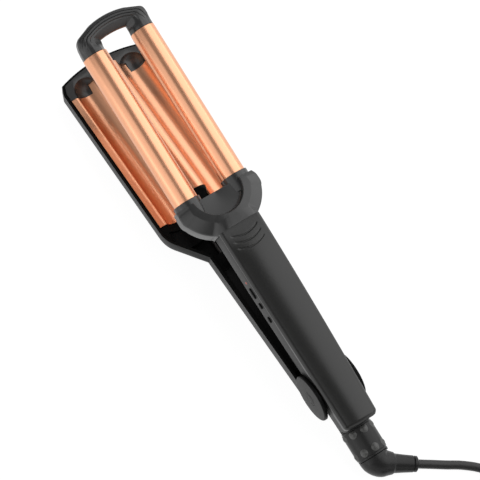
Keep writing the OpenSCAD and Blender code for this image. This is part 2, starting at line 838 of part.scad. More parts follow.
module heat_down_button() {
    button(heat_down_y);
}

module status_light() {
    x = handle_hw(status_y);
    color([0.9, 0.3, 0.2]) upper_frame() translate([-x + 0.05, status_y, button_z])
        rod_x(1.2, 0, handle_wall + 2);
}

// Small board behind the buttons, with a switch for each
board_x = -handle_hw(heat_down_y) + handle_wall + 4.3;
module button_board() {
    color(board_green) upper_frame() {
        box([board_x, heat_down_y - 8, handle_bottom + handle_wall],
            [board_x + 1.2, status_y + 5, handle_top - 7]);
        for (y = button_spots) {
            x0 = -handle_hw(y) + handle_wall + 1.1 + button_travel + 0.1;
            box([x0, y - 2, button_z - 2], [board_x + touch, y + 2, button_z + 2]);
        }
        translate([-handle_hw(status_y) + handle_wall + 2.1, status_y, button_z])
            rod_x(1.1, 0, board_x + handle_hw(status_y) - handle_wall - 2.1 + touch);
    }
}

// Main board between the cover's screws, on four feet
control_y0 = cover_screws[0] + 8;
control_y1 = cover_screws[1] - 8;
control_x = tail_w / 2 - handle_wall + 0.4;
module control_board() {
    z = handle_bottom + handle_wall + 3;
    color(board_green) upper_frame() {
        box([board_x + 1.7, control_y0, z], [control_x, control_y1, z + 1.6]);
        for (y = [control_y0 + 6, control_y1 - 6]) {
            box([control_x - 4.4, y - 3, handle_bottom + handle_wall], [control_x - 0.4, y + 3, z + touch]);
            box([board_x + 2, y - 3, handle_bottom + handle_wall], [board_x + 6, y + 3, z + touch]);
        }
        box([-2, control_y0 + 12, z + 1.5], [10, control_y0 + 26, z + 9]);
        box([0, control_y0 + 34, z + 1.5], [10, control_y0 + 52, z + 7]);
        translate([4, control_y1 - 13, z + 1.5]) cylinder(r = 4, h = 8);
    }
}

// Wires from the board to the two barrels
module barrel_leads() {
    z = handle_bottom + handle_wall + 6;
    color(wire_red) upper_frame() for (s = side) {
        path = [[s * 6, control_y1 - 7, z], [s * 6, handle_len - 10, z], [s * 6, handle_len + 4, hinge_drop + 5],
            [s * (half_pitch - 5), collar_start - 7, hinge_drop + 1],
            [s * half_pitch, collar_start - 3, hinge_drop], [s * half_pitch, core_y0 - 1.2, hinge_drop + 2]];
        tube(path, 1.1, 8, [0, 0, 1]);
    }
}

module handle_screws() {
    color(steel) upper_frame() for (y = cover_screws) translate([0, y, handle_bottom + 4 - screw_head_t]) difference() {
        union() {
            cylinder(r = screw_head_r, h = screw_head_t);
            translate([0, 0, screw_head_t - touch]) cylinder(r = screw_r, h = 10);
        }
        for (a = [0, 90]) rotate([0, 0, a]) translate([-1.6, -0.3, -1]) cube([3.2, 0.6, 1.7]);
    }
}

// ---- cord end ----

// Bar that grips the cord's cores inside the handle
module cord_clamp() {
    color(black_matte) upper_frame() difference() {
        box([-9, 6, handle_bottom + 3.02], [9, 13, handle_bottom + 9]);
        translate([0, 0, handle_bottom + 3.6]) rod_y(2.6, 5, 14);
    }
}

// Sleeve behind the handle, with two rows of grip pads
module swivel_sleeve() {
    color(black_satin) upper_frame() translate([0, 0, sleeve_z]) difference() {
        union() {
            translate([0, sleeve_start, 0]) rotate([90, 0, 0]) rotate_extrude($fn = 96)
                polygon([[0, 0], [sleeve_r - 0.5, 0], [sleeve_r, 0.8], [sleeve_r, sleeve_len - 1.6],
                    [sleeve_r - sleeve_chamfer, sleeve_len - 0.6], [0, sleeve_len - 0.6]]);
            rod_y(spigot_r, sleeve_start - 1, -16.2);
        }
        rod_y(core_r + run_gap, sleeve_end - 1, sleeve_start - 3);
        rod_y(4, sleeve_end - 1, 0);
        for (y = [sleeve_start - 9.5, sleeve_end + 3.5]) difference() {
            rod_y(sleeve_r + 1, y - 0.5, y + 0.5);
            rod_y(sleeve_r - 0.7, y - 1, y + 1);
        }
        for (row = [sleeve_start - 4.6, sleeve_end + 8.6]) for (a = [0 : 45 : 315])
            rotate([0, a + 22.5, 0]) box([-1, row - 3.2, sleeve_r - 1.1], [1, row + 3.2, sleeve_r + 1]);
        for (y = [sleeve_start - 10, sleeve_start - 15]) difference() {
            rod_y(core_r + 1.6, y - 1.3, y + 1.3);
            rod_y(core_r - 1, y - 2, y + 2);
        }
    }
}

// Brass rings that carry the current across the swivel
module slip_rings() {
    color(brass) upper_frame() translate([0, 0, sleeve_z]) for (y = [sleeve_start - 10, sleeve_start - 15])
        difference() {
            rod_y(core_r + 1.5, y - 1.2, y + 1.2);
            rod_y(core_r + 0.1, y - 2, y + 2);
        }
}

// Elbow that turns in the sleeve and leads the cord aside, drawn in to its open end
module swivel_elbow() {
    color(black_satin) upper_frame() translate([0, 0, sleeve_z]) {
        rod_y(core_r, sleeve_end - 1, sleeve_start - 4);
        intersection() {
            union() {
                hull() {
                    translate([0, sleeve_end - 1.4, 0]) rotate([90, 0, 0])
                        cylinder(r = sleeve_r - 1.2, h = 1, center = true, $fn = 32);
                    translate([0, elbow_y, 0]) sphere(relief_r + 2, $fn = 32);
                }
                hull() {
                    translate([0, elbow_y, 0]) sphere(relief_r + 1.8, $fn = 32);
                    translate([0, elbow_y, 0]) rotate([90, 0, elbow_angle])
                        translate([0, 0, relief_len - 5]) cylinder(r = relief_r + 0.2, h = 0.2, $fn = 32);
                }
            }
            box([-60, elbow_y - 60, -60], [60, sleeve_end - 0.4, 60]);
        }
        translate([0, elbow_y, 0]) rotate([90, 0, elbow_angle]) {
            cylinder(r = relief_r, h = relief_len - 2);
            translate([0, 0, relief_len - 1.6]) cylinder(r = relief_r, h = 1.6);
            cylinder(r = relief_r - 0.9, h = relief_len - 1);
        }
    }
}

// ---- cord ----

ground = cord_d / 2 + 0.05;            // height of the cord's middle where it lies
relief_ground = [relief_tip[0],
    hinge_y + relief_tip[1] * cos(upper_tilt) - relief_tip[2] * sin(upper_tilt),
    hinge_z + relief_tip[1] * sin(upper_tilt) + relief_tip[2] * cos(upper_tilt)];
relief_dir = [sin(elbow_angle), -cos(elbow_angle) * cos(upper_tilt), -cos(elbow_angle) * sin(upper_tilt)];

// The coil: the lower layer winds inwards, climbs in the half turn where it turns back, and
// the upper layer winds outwards, all at one steady rate.
coil_step = cord_d + 0.6;
coil_in = 30.3;                        // radius where the spiral turns back
coil_mid = [5.5, -281.7];              // middle of the coil on the ground
coil_start = 327.5;                    // angle at which the lead joins it
coil_loops = 2 * coil_turns + 0.125;
climb = 0.5;
turns_up = coil_turns + climb;

function coil_radius(t) = t < coil_turns ? coil_in + coil_step * (coil_turns - t)
    : t < turns_up ? coil_in - 0.16 * coil_step * sin(360 * (t - coil_turns))
    : coil_in + coil_step * (t - turns_up);
function coil_height(t) = ground + coil_step * min(1, max(0, (t - coil_turns) / climb));
function coil_point(t) = [coil_mid[0] + coil_radius(t) * cos(coil_start - 360 * t),
    coil_mid[1] + coil_radius(t) * sin(coil_start - 360 * t), coil_height(t)];

// A straight piece one cord diameter long at each end of a path
function with_ends(pts) = let (
    last = len(pts) - 1,
    first_dir = (pts[0] - pts[1]) / norm(pts[0] - pts[1]),
    last_dir = (pts[last] - pts[last - 1]) / norm(pts[last] - pts[last - 1]))
    concat([pts[0] + cord_d * first_dir], pts, [pts[last] + cord_d * last_dir]);

coil_path = with_ends([for (i = [0 : 24 * coil_loops]) coil_point(i / 24)]);
coil_first = coil_path[0];
coil_last = coil_path[len(coil_path) - 1];
coil_in_dir = (coil_path[1] - coil_path[0]) / cord_d;
coil_out_dir = (coil_last - coil_path[len(coil_path) - 2]) / cord_d;

// Least gap between two turns, measured on the path's points more than half a turn apart
coil_gap = min([for (i = [0 : len(coil_path) - 1]) for (j = [i + 12 : 1 : len(coil_path) - 1])
    norm(coil_path[i] - coil_path[j])]) - cord_d;
echo(coil_gap = coil_gap);

plug_tilt = 8;                         // heading of the plug on the ground
plug_half_t = 6.85;
plug_at = [-68, -283, plug_half_t + 0.05];
plug_dir = [-sin(plug_tilt), cos(plug_tilt), 0];
plug_len = 36;

lead_path = [relief_ground, relief_ground + 6 * relief_dir, relief_ground + 12 * relief_dir,
    [44.5, -212, 5.6], [54, -218, 4.7], [65, -227.5, 3.8], [72.5, -239.5, ground], [76.5, -253, ground],
    [76.5, -267.5, ground], [72.5, -281, ground], [65.5, -292.5, ground],
    coil_first - 8 * coil_in_dir, coil_first];
tail_path = [coil_last, coil_last + 7 * coil_out_dir, [-4.5, -338.5, 10], [-17.5, -341.5, 8],
    [-31, -340.5, 5.7], [-43.5, -335.5, 4], [-54, -327, ground], [-61.5, -316, 3.9], [-65.5, -303, 5.4],
    plug_at - 10 * plug_dir, plug_at];

module cord_lead() {
    color(black_gloss) tube(lead_path, cord_d / 2, 10, [0, 0, 1]);
}

module cord_coil() {
    color(black_gloss) tube(coil_path, cord_d / 2, 6, [0, 0, 1]);
}

module cord_tail() {
    color(black_gloss) tube(tail_path, cord_d / 2, 10, [0, 0, 1]);
}

// Flat two-pin plug, drawn in to the cord
plug_pin_r = 2;
plug_pin_gap = 18.6;
plug_shank_r = plug_pin_r - 0.35;      // foot of a pin, moulded into the plug
plug_shank = 9.8;
module plug_slice(y, hw, ht) {
    translate([0, y, 0]) rotate([90, 0, 0]) linear_extrude(0.02) for (s = side) for (t = side)
        translate([s * (hw - 3), t * (ht - 3)]) circle(3, $fn = 32);
}

module plug_body() {
    color(black_gloss) translate(plug_at) rotate([0, 0, plug_tilt]) difference() {
        union() {
            hull() {
                plug_slice(0.02, 4.6, 4.6);
                plug_slice(12, 6.2, 5.4);
            }
            hull() {
                plug_slice(11, 6.2, 5.4);
                plug_slice(22, 15.5, plug_half_t);
                plug_slice(plug_len, 17.4, plug_half_t);
            }
        }
        for (s = side) translate([s * plug_pin_gap / 2, 0, 0])
            rod_y(plug_shank_r + 0.02, plug_len - plug_shank - 0.2, plug_len + 1);
    }
}

module plug_pins() {
    color(brass) translate(plug_at) rotate([0, 0, plug_tilt]) for (s = side)
        translate([s * plug_pin_gap / 2, 0, 0]) {
            rod_y(plug_shank_r, plug_len - plug_shank, plug_len + 1);
            rod_y(plug_pin_r, plug_len + 0.5, plug_len + plug_pin_len - 1);
            rod_y(plug_pin_r - 0.5, plug_len, plug_len + plug_pin_len);
        }
}

lower_housing();
wave_plate();
jaw_nose();
jaw_end_block();
plate_carrier();
plate_heater();
plate_sensor();
arm_liner();
jaw_leads();
lower_screws();
closing_bumper();
handle_shell();
handle_cover();
neck_base();
neck_cover();
hinge_pin();
left_hinge_cap();
right_hinge_cap();
opening_spring();
left_barrel();
right_barrel();
left_collar();
right_collar();
tip_bridge();
left_heat_core();
right_heat_core();
left_heater();
right_heater();
barrel_sensors();
control_board();
button_board();
power_button();
heat_up_button();
heat_down_button();
status_light();
barrel_leads();
handle_screws();
cord_clamp();
swivel_sleeve();
slip_rings();
swivel_elbow();
cord_lead();
cord_coil();
cord_tail();
plug_body();
plug_pins();
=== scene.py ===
# %% [markdown]
# # A hair waver, dressed for its portrait
# The solids of the tool come packed in one file, in metres, at the place where each piece belongs.
# This script gives every surface its finish, lays the cord, and sets the light and the camera.
# It starts by loading the solids.

# %% Load the solids
import json
from math import cos, pi, radians, sin, sqrt, tan

import bmesh
import bpy
import numpy as np
from mathutils import Matrix, Vector


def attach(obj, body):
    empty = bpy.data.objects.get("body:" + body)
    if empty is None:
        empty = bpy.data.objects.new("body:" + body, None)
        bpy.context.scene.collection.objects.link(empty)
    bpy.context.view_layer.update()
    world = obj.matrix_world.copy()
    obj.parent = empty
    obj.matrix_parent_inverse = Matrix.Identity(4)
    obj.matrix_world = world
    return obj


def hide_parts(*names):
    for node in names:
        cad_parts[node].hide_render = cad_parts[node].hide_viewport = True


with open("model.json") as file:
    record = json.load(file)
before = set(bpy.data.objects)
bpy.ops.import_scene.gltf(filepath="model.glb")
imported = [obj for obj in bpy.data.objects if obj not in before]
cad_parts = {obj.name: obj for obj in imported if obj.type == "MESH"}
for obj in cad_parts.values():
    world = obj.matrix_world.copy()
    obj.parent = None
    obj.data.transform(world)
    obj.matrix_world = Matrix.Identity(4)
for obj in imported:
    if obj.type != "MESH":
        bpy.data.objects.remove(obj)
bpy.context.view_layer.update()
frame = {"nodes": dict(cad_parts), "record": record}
nodes = frame["nodes"]

# %% [markdown]
# ## The two frames of the tool
# The tool lies open on the ground. Its lower arm tilts a little down to the tip, and its upper arm
# tilts up by the opening angle. Both arms turn about one pin, so each arm is easiest to describe
# with the pin at the origin and the arm along +Y, in millimetres. A function then carries points
# from an arm's own frame into the tool's frame, in metres.

# %% The hinge and the two arms
MM = 0.001
HINGE = np.array([0.0, -119.324, 27.0225])  # the pin's middle, in mm
LOWER_TILT = radians(-1.4467)
OPEN_ANGLE = radians(13)
UPPER_TILT = LOWER_TILT + OPEN_ANGLE


def turned(points, tilt):
    """Points (n, 3) of an arm's frame turned about X and moved to the pin, in metres."""
    x, y, z = np.asarray(points, float).T
    out = np.stack([x, y * cos(tilt) - z * sin(tilt), y * sin(tilt) + z * cos(tilt)], axis=1)
    return (out + HINGE) * MM


def upper(points):
    """From the upper arm's frame, in mm, to the tool's frame, in metres."""
    return turned(points, UPPER_TILT)


def lower(points):
    """From the lower arm's frame, in mm, to the tool's frame, in metres."""
    return turned(points, LOWER_TILT)


def straight(points):
    """From the ground's frame, in mm, to the tool's frame, in metres."""
    return np.asarray(points, float) * MM


# %% [markdown]
# ## The camera
# The photograph was taken with a long lens from well above the tool, from its left side and a
# little behind. Its frame is square. The camera is placed by its position, by the point that it
# looks at, and by how far the tool leans to the left in the picture.

# %% Camera
CAMERA_PLACE = Vector((-0.40653, -0.41860, 1.49102))
CAMERA_AIM = Vector((-0.00095, 0.00496, 0.05651))
TOOL_LEAN = radians(35.0913)
SENSOR = 36.0
FOCAL_SHARE = 4.34034  # focal length over the width of the frame

look = (CAMERA_AIM - CAMERA_PLACE).normalized()
side = look.cross(Vector((0, 1, 0))).normalized()
above = side.cross(look)
camera_right = side * cos(TOOL_LEAN) - above * sin(TOOL_LEAN)
camera_up = above * cos(TOOL_LEAN) + side * sin(TOOL_LEAN)
camera_data = bpy.data.cameras.new("camera")
camera_data.sensor_width = SENSOR
camera_data.lens = SENSOR * FOCAL_SHARE
camera_data.clip_end = 20
camera = bpy.data.objects.new("camera", camera_data)
bpy.context.scene.collection.objects.link(camera)
turn = Matrix((camera_right, camera_up, -look)).transposed().to_4x4()
camera.matrix_world = Matrix.Translation(CAMERA_PLACE) @ turn
bpy.context.scene.camera = camera
print("camera at", tuple(round(v, 3) for v in CAMERA_PLACE))

# %% [markdown]
# ## Putting a mesh into the scene
# A surface is a grid of points: rings along one parameter, points round each ring along the other.
# The faces follow from the grid's size, so a whole piece is two arrays. `foreach_set` copies them
# into the mesh in one go. Rings that close and caps at both ends make a watertight piece.


# %% Mesh helpers
def quads(rows, columns, wrap):
    """Corner numbers of a grid's four-sided faces. With wrap, the last column joins the first."""
    across = columns if wrap else columns - 1
    i, j = np.meshgrid(np.arange(rows - 1), np.arange(across), indexing="ij")
    k = (j + 1) % columns
    here, beyond = i * columns, (i + 1) * columns
    return np.stack([here + j, here + k, beyond + k, beyond + j], axis=-1).reshape(-1, 4)


def in_scene(name, data):
    """A new object with the given data, linked into the scene."""
    item = bpy.data.objects.new(name, data)
    bpy.context.scene.collection.objects.link(item)
    return item


def put_mesh(name, points, faces, smooth_angle=35):
    """One object from points in metres and a list of face arrays, smooth below an angle."""
    mesh = bpy.data.meshes.new(name)
    faces = [np.asarray(f, np.int32) for f in faces if len(f)]
    corners = np.concatenate([f.ravel() for f in faces])
    totals = np.concatenate([np.full(len(f), f.shape[1], np.int32) for f in faces])
    mesh.vertices.add(len(points))
    mesh.vertices.foreach_set("co", np.asarray(points, np.float32).ravel())
    mesh.loops.add(len(corners))
    mesh.loops.foreach_set("vertex_index", corners)
    mesh.polygons.add(len(totals))
    starts = np.concatenate([[0], np.cumsum(totals)[:-1]])
    mesh.polygons.foreach_set("loop_start", starts.astype(np.int32))
    mesh.update(calc_edges=True)
    mesh.validate()
    mesh.shade_smooth()
    mesh.set_sharp_from_angle(angle=radians(smooth_angle))
    return in_scene(name, mesh)


def ring_faces(rings, columns):
    """Faces of a stack of rings: the wall, and one many-sided face at each end."""
    wall = quads(rings, columns, True)
    first = np.arange(columns)[::-1][None, :]
    last = ((rings - 1) * columns + np.arange(columns))[None, :]
    return [wall, first, last]


def outward(piece):
    """Turns the faces outwards if the closed mesh holds a negative volume."""
    mesh = piece.data
    mesh.calc_loop_triangles()
    tris = np.empty(len(mesh.loop_triangles) * 3, np.int32)
    mesh.loop_triangles.foreach_get("vertices", tris)
    co = np.empty(len(mesh.vertices) * 3)
    mesh.vertices.foreach_get("co", co)
    a, b, c = co.reshape(-1, 3)[tris.reshape(-1, 3)].transpose(1, 0, 2)
    if np.einsum("ij,ij->i", a, np.cross(b, c)).sum() < 0:
        mesh.flip_normals()
    return piece


# %% [markdown]
# ## The cord
# A hair tool has about 1.8 m of round cord, 6.8 mm thick, that leaves a swivel elbow through a
# strain relief. It comes straight out, sinks to the ground and runs out of the picture. What the
# picture doesn't show is put away as a flat coil of two layers, with the plug beside it. The cord
# is one smooth tube along one list of points: the lead's points are listed one by one, the coil is
# a spiral that winds inwards, climbs a layer in half a turn and winds outwards, and the tail's
# points are listed one by one again.

# %% The cord's route, in mm
CORD_D = 6.8
GROUND = CORD_D / 2 + 0.05  # height of the cord's middle where it lies
ELBOW_ANGLE = radians(57)
RELIEF_LEN = 30.0
SLEEVE_Z = -2.5
SLEEVE_START = -34.7
SLEEVE_END = -60.1
ELBOW_Y = SLEEVE_END - 6
relief_tip = np.array([RELIEF_LEN * sin(ELBOW_ANGLE), ELBOW_Y - RELIEF_LEN * cos(ELBOW_ANGLE),
                       SLEEVE_Z])
relief_ground = upper([relief_tip])[0] / MM
relief_dir = np.array([sin(ELBOW_ANGLE), -cos(ELBOW_ANGLE) * cos(UPPER_TILT),
                       -cos(ELBOW_ANGLE) * sin(UPPER_TILT)])

COIL_STEP = CORD_D + 0.6
COIL_IN = 30.3
COIL_MID = np.array([5.5, -281.7])
COIL_START = radians(327.5)
COIL_TURNS = 3
COIL_LOOPS = 2 * COIL_TURNS + 0.125
COIL_POINTS = 24  # points in each turn
COIL_DIP = 0.16 * COIL_STEP
CLIMB = 0.5
TURNS_UP = COIL_TURNS + CLIMB


def coil(t):
    """Point of the coil after t turns: the radius falls one step a turn, dips a little during the
    half turn of the climb, then grows one step a turn. The height rises one step in the climb."""
    dip = COIL_IN - COIL_DIP * np.sin(2 * pi * (t - COIL_TURNS))
    radius = np.where(t < COIL_TURNS, COIL_IN + COIL_STEP * (COIL_TURNS - t),
                      np.where(t < TURNS_UP, dip, COIL_IN + COIL_STEP * (t - TURNS_UP)))
    height = GROUND + COIL_STEP * np.clip((t - COIL_TURNS) / CLIMB, 0, 1)
    angle = COIL_START - 2 * pi * t
    x, y = COIL_MID[0] + radius * np.cos(angle), COIL_MID[1] + radius * np.sin(angle)
    return np.stack([x, y, height], axis=1)


turns = coil(np.arange(0, COIL_POINTS * COIL_LOOPS + 1) / COIL_POINTS)
lead_in = (turns[1] - turns[0]) / np.linalg.norm(turns[1] - turns[0])
lead_out = (turns[-1] - turns[-2]) / np.linalg.norm(turns[-1] - turns[-2])
coil_first = turns[0] - CORD_D * lead_in
coil_last = turns[-1] + CORD_D * lead_out
PLUG_TILT = radians(8)
PLUG_AT = np.array([-68.0, -283.0, 6.9])
plug_dir = np.array([-sin(PLUG_TILT), cos(PLUG_TILT), 0.0])
lead = np.array([relief_ground, relief_ground + 6 * relief_dir, relief_ground + 12 * relief_dir,
                 [44.5, -212, 5.6], [54, -218, 4.7], [65, -227.5, 3.8], [72.5, -239.5, GROUND],
                 [76.5, -253, GROUND], [76.5, -267.5, GROUND], [72.5, -281, GROUND],
                 [65.5, -292.5, GROUND], coil_first - 8 * lead_in, coil_first])
tail = np.array([coil_last, coil_last + 7 * lead_out, [-4.5, -338.5, 10], [-17.5, -341.5, 8],
                 [-31, -340.5, 5.7], [-43.5, -335.5, 4], [-54, -327, GROUND], [-61.5, -316, 3.9],
                 [-65.5, -303, 5.4], PLUG_AT - 10 * plug_dir, PLUG_AT])
route = np.concatenate([lead, turns, tail])


# %% A smooth tube along the route
def smooth_path(points, step):
    """Points every `step` mm along a curve through the given points: each stretch is a cubic whose
    slopes at the points follow their neighbours (Catmull-Rom), then spaced evenly by arc length."""
    ends = np.concatenate([[2 * points[0] - points[1]], points, [2 * points[-1] - points[-2]]])
    u = np.linspace(0, 1, 12, endpoint=False)[None, :, None]
    p0, p1, p2, p3 = (ends[k:len(ends) - 3 + k][:, None, :] for k in range(4))
    curve = 0.5 * (2 * p1 + (p2 - p0) * u + (2 * p0 - 5 * p1 + 4 * p2 - p3) * u ** 2
                   + (3 * p1 - p0 - 3 * p2 + p3) * u ** 3)
    fine = np.concatenate([curve.reshape(-1, 3), points[-1:]])
    length = np.concatenate([[0], np.cumsum(np.linalg.norm(np.diff(fine, axis=0), axis=1))])
    at = np.linspace(0, length[-1], int(length[-1] / step) + 1)
    return np.stack([np.interp(at, length, fine[:, k]) for k in range(3)], axis=1), length[-1]


def tube(name, path, radius, sides=20, place=straight):
    """A round tube: a ring square to the path at each point. The ring's axes are the path's
    direction crossed with +Z, and that crossed with the direction."""
    direction = np.gradient(path, axis=0)
    direction /= np.linalg.norm(direction, axis=1, keepdims=True)
    flat = np.cross(direction, [0, 0, 1.0])
    flat /= np.linalg.norm(flat, axis=1, keepdims=True)
    rise = np.cross(flat, direction)
    a = np.linspace(0, 2 * pi, sides, endpoint=False)
    rings = path[:, None, :] + np.reshape(radius, (-1, 1, 1)) * (
        flat[:, None, :] * np.cos(a)[None, :, None] + rise[:, None, :] * np.sin(a)[None, :, None])
    return outward(put_mesh(name, place(rings.reshape(-1, 3)), ring_faces(len(path), sides)))


cord_path, cord_length = smooth_path(route, step=4.0)
cord = tube("cord", cord_path, np.full(len(cord_path), CORD_D / 2))
print("cord length", round(cord_length, 1), "mm")
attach(cord, "cord_swivel")
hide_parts("cord_lead", "cord_coil", "cord_tail")

# %% [markdown]
# ## Three ways to make a surface
# Most pieces of the tool were turned, extruded or moulded. A turned piece is an outline carried
# round an axis. A moulded piece is a stack of rings whose outline changes slowly, and a bent sheet
# is a grid with an upper and a lower face. All three are a few whole arrays. Corners that a finger
# would feel as round are rounded in the outlines, and a narrow bevel breaks the other edges.


# %% Outlines and grids
def rounded(corners, radii, steps=6):
    """Points round a closed outline whose corners are arcs. A corner's arc has its centre on the
    bisector, r / sin(half) away, and starts r / tan(half) before the corner."""
    p = np.asarray(corners, float)
    r = np.broadcast_to(np.asarray(radii, float), len(p))[:, None]
    back = np.roll(p, 1, axis=0) - p
    back /= np.linalg.norm(back, axis=1, keepdims=True)
    ahead = np.roll(p, -1, axis=0) - p
    ahead /= np.linalg.norm(ahead, axis=1, keepdims=True)
    half = np.arccos(np.clip((back * ahead).sum(axis=1, keepdims=True), -1, 1)) / 2
    middle = (back + ahead) / np.linalg.norm(back + ahead, axis=1, keepdims=True)
    centre = p + middle * r / np.sin(half)
    first = (p + back * r / np.tan(half) - centre)[:, None]
    last = (p + ahead * r / np.tan(half) - centre)[:, None]
    swing = (pi - 2 * half)[:, None]
    t = np.linspace(0, 1, steps + 1)[None, :, None]
    arc = (np.sin((1 - t) * swing) * first + np.sin(t * swing) * last) / np.sin(swing)
    return (centre[:, None] + arc).reshape(-1, 2)


def eased(share):
    """A share held between 0 and 1, with a level start and end: 3 t^2 - 2 t^3."""
    t = np.clip(share, 0, 1)
    return t * t * (3 - 2 * t)


def sealed(piece):
    """Joins points that lie on each other, so that poles and seams are closed."""
    work = bmesh.new()
    work.from_mesh(piece.data)
    bmesh.ops.remove_doubles(work, verts=work.verts, dist=1e-7)
    bmesh.ops.dissolve_degenerate(work, edges=work.edges, dist=1e-8)
    work.to_mesh(piece.data)
    work.free()
    return piece


def loft(name, rings, place, smooth_angle=35):
    """A closed piece through a stack of rings, an array (rings, points, 3), capped at both ends."""
    rows, columns = rings.shape[:2]
    piece = put_mesh(name, place(rings.reshape(-1, 3)), ring_faces(rows, columns), smooth_angle)
    return outward(sealed(piece))


def lathe(name, outline, place, centre=(0, 0), axis="y", sides=96, smooth_angle=35, reach=None):
    """A closed outline of (radius, distance along the axis) carried round the axis. The optional
    `reach` changes the radius by the angle and the distance, for flats and raised pads."""
    radius, along = np.asarray(outline, float).T
    angle = np.linspace(0, 2 * pi, sides, endpoint=False)[None, :]
    radius, along = radius[:, None] + 0 * angle, along[:, None] + 0 * angle
    if reach:
        radius = reach(radius, along, angle + 0 * along)
    a, b = centre[0] + radius * np.cos(angle), centre[1] + radius * np.sin(angle)
    rings = np.stack([along, a, b] if axis == "x" else [a, along, b], axis=-1)
    rings = np.concatenate([rings, rings[:1]])
    rows, columns = rings.shape[:2]
    piece = put_mesh(name, place(rings.reshape(-1, 3)), [quads(rows, columns, True)], smooth_angle)
    return outward(sealed(piece))


def sheet(name, top, low, place, smooth_angle=35):
    """A closed piece between two grids of the same size, joined round their borders."""
    rows, columns = top.shape[:2]
    count = rows * columns
    number = np.arange(count).reshape(rows, columns)
    rim = np.concatenate([number[0, :-1], number[:-1, -1], number[-1, :0:-1], number[:0:-1, 0]])
    border = np.stack([rim, np.roll(rim, -1), np.roll(rim, -1) + count, rim + count], axis=1)
    faces = [quads(rows, columns, False)[:, ::-1], quads(rows, columns, False) + count, border]
    points = np.concatenate([top.reshape(-1, 3), low.reshape(-1, 3)])
    return outward(sealed(put_mesh(name, place(points), faces, smooth_angle)))


EDGE_ANGLE = 38  # degrees; a blunter edge isn't bevelled


def edged(piece, width, angle=EDGE_ANGLE):
    """Breaks the edges sharper than an angle with a narrow bevel, as a mould leaves them."""
    bevel = piece.modifiers.new("edge", "BEVEL")
    bevel.width = width * MM
    bevel.segments = 2
    bevel.limit_method = "ANGLE"
    bevel.angle_limit = radians(angle)
    bevel.harden_normals = True
    return piece


def stands_for(piece, body, slot, *replaced, look=None):
    """Lets a piece ride on a body, names its slot, and says which solids it stands for. A piece may
    have a look of its own within its slot, such as a duller black."""
    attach(piece, body)
    if replaced:
        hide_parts(*replaced)
    dressed.append((piece, look or slot))
    return piece


dressed = []  # (piece, look) pairs, which get their finish later

# %% [markdown]
# ## Solids with broken edges
# Pieces whose solid already has the right shape, such as the shells with their bosses and button
# holes, are kept. A copy is joined along its edges, its flat faces are merged, and a bevel of a few
# tenths of a millimetre catches the light along the edges, as a moulded edge does.


# %% Copies with broken edges
def refined(node_name, body, slot, width, look=None):
    """A joined copy of a solid with flat faces merged, shaded smooth, its edges bevelled."""
    mesh = nodes[node_name].data.copy()
    mesh.name = node_name + "_moulded"
    work = bmesh.new()
    work.from_mesh(mesh)
    bmesh.ops.remove_doubles(work, verts=work.verts, dist=2e-6)
    bmesh.ops.dissolve_degenerate(work, edges=work.edges, dist=1e-7)
    bmesh.ops.dissolve_limit(work, angle_limit=radians(0.4), verts=work.verts, edges=work.edges)
    bmesh.ops.recalc_face_normals(work, faces=work.faces)
    work.to_mesh(mesh)
    work.free()
    mesh.shade_smooth()
    mesh.set_sharp_from_angle(angle=radians(EDGE_ANGLE))
    piece = in_scene(node_name + "_moulded", mesh)
    if width:
        edged(piece, width)
    return stands_for(piece, body, slot, node_name, look=look)


slots = {s["node"]: s["material_slot"] for s in frame["record"]["subparts"]}
body_of_node = {n: b for b, names in frame["record"]["behaviour"]["bodies"].items() for n in names}
# The end block, the liner and the bumper get a near-black finish that is painted shade for the gap
# between the arms.
for node_name, width, look_name in [
        ("handle_shell", 0.3, "shell_black"), ("lower_housing", 0.35, None),
        ("jaw_nose", 0.4, None), ("jaw_end_block", 0.4, "gap_shade_black"),
        ("arm_liner", 0.2, "gap_shade_black"), ("closing_bumper", 0.4, "gap_shade_black"),
        ("plate_carrier", 0.0, None), ("lower_screws", 0.12, None), ("plug_body", 0.5, None)]:
    refined(node_name, body_of_node[node_name], slots[node_name], width, look_name)
print("refined copies:", len(dressed))

# %% The cord's end
print("the cord's route ends at PLUG_AT")

# %% [markdown]
# ## Barrels and collars
# Each barrel is an aluminium tube, 20 mm across with a 1.2 mm wall, ground smooth and coated with
# copper-coloured ceramic. It was turned, so its outline is carried round its axis. A black collar
# insulates its foot from the neck. The collar's mouth is wider than the barrel, which leaves the
# narrow dark ring that the photograph shows under the copper.

# %% Barrels and collars
BARREL_X, BARREL_Z, BARREL_R = 21.0, 4.0, 10.0
COLLAR_Y, NECK_END, BARREL_END = 158.0, 172.0, 302.0
BARREL_START, BARREL_BORE = COLLAR_Y + 2, 8.8
COLLAR_BORE, COLLAR_MOUTH, COLLAR_R = 10.06, 10.5, 11.2
SIDES = (("left", -1), ("right", 1))
barrel_outline = rounded([(BARREL_BORE, BARREL_START), (BARREL_R, BARREL_START),
                          (BARREL_R, BARREL_END), (BARREL_BORE, BARREL_END)], 0.3, 3)
collar_outline = rounded([(COLLAR_BORE, COLLAR_Y + 0.5), (COLLAR_R, COLLAR_Y),
                          (COLLAR_R, NECK_END), (COLLAR_MOUTH, NECK_END),
                          (COLLAR_MOUTH, NECK_END - 2.5), (COLLAR_BORE, NECK_END - 2.6)],
                         [0.05, 0.6, 0.35, 0.15, 0.05, 0.02], 4)
for side_name, s in SIDES:
    centre = (s * BARREL_X, BARREL_Z)
    barrel = lathe(side_name + "_tube", barrel_outline, upper, centre, sides=128)
    stands_for(barrel, "upper_arm", "copper_coat", side_name + "_barrel")
    collar = lathe(side_name + "_ring", collar_outline, upper, centre, sides=128)
    stands_for(collar, "upper_arm", "satin_black", side_name + "_collar")
print("barrels from", BARREL_START, "to", BARREL_END, "mm along the upper arm")

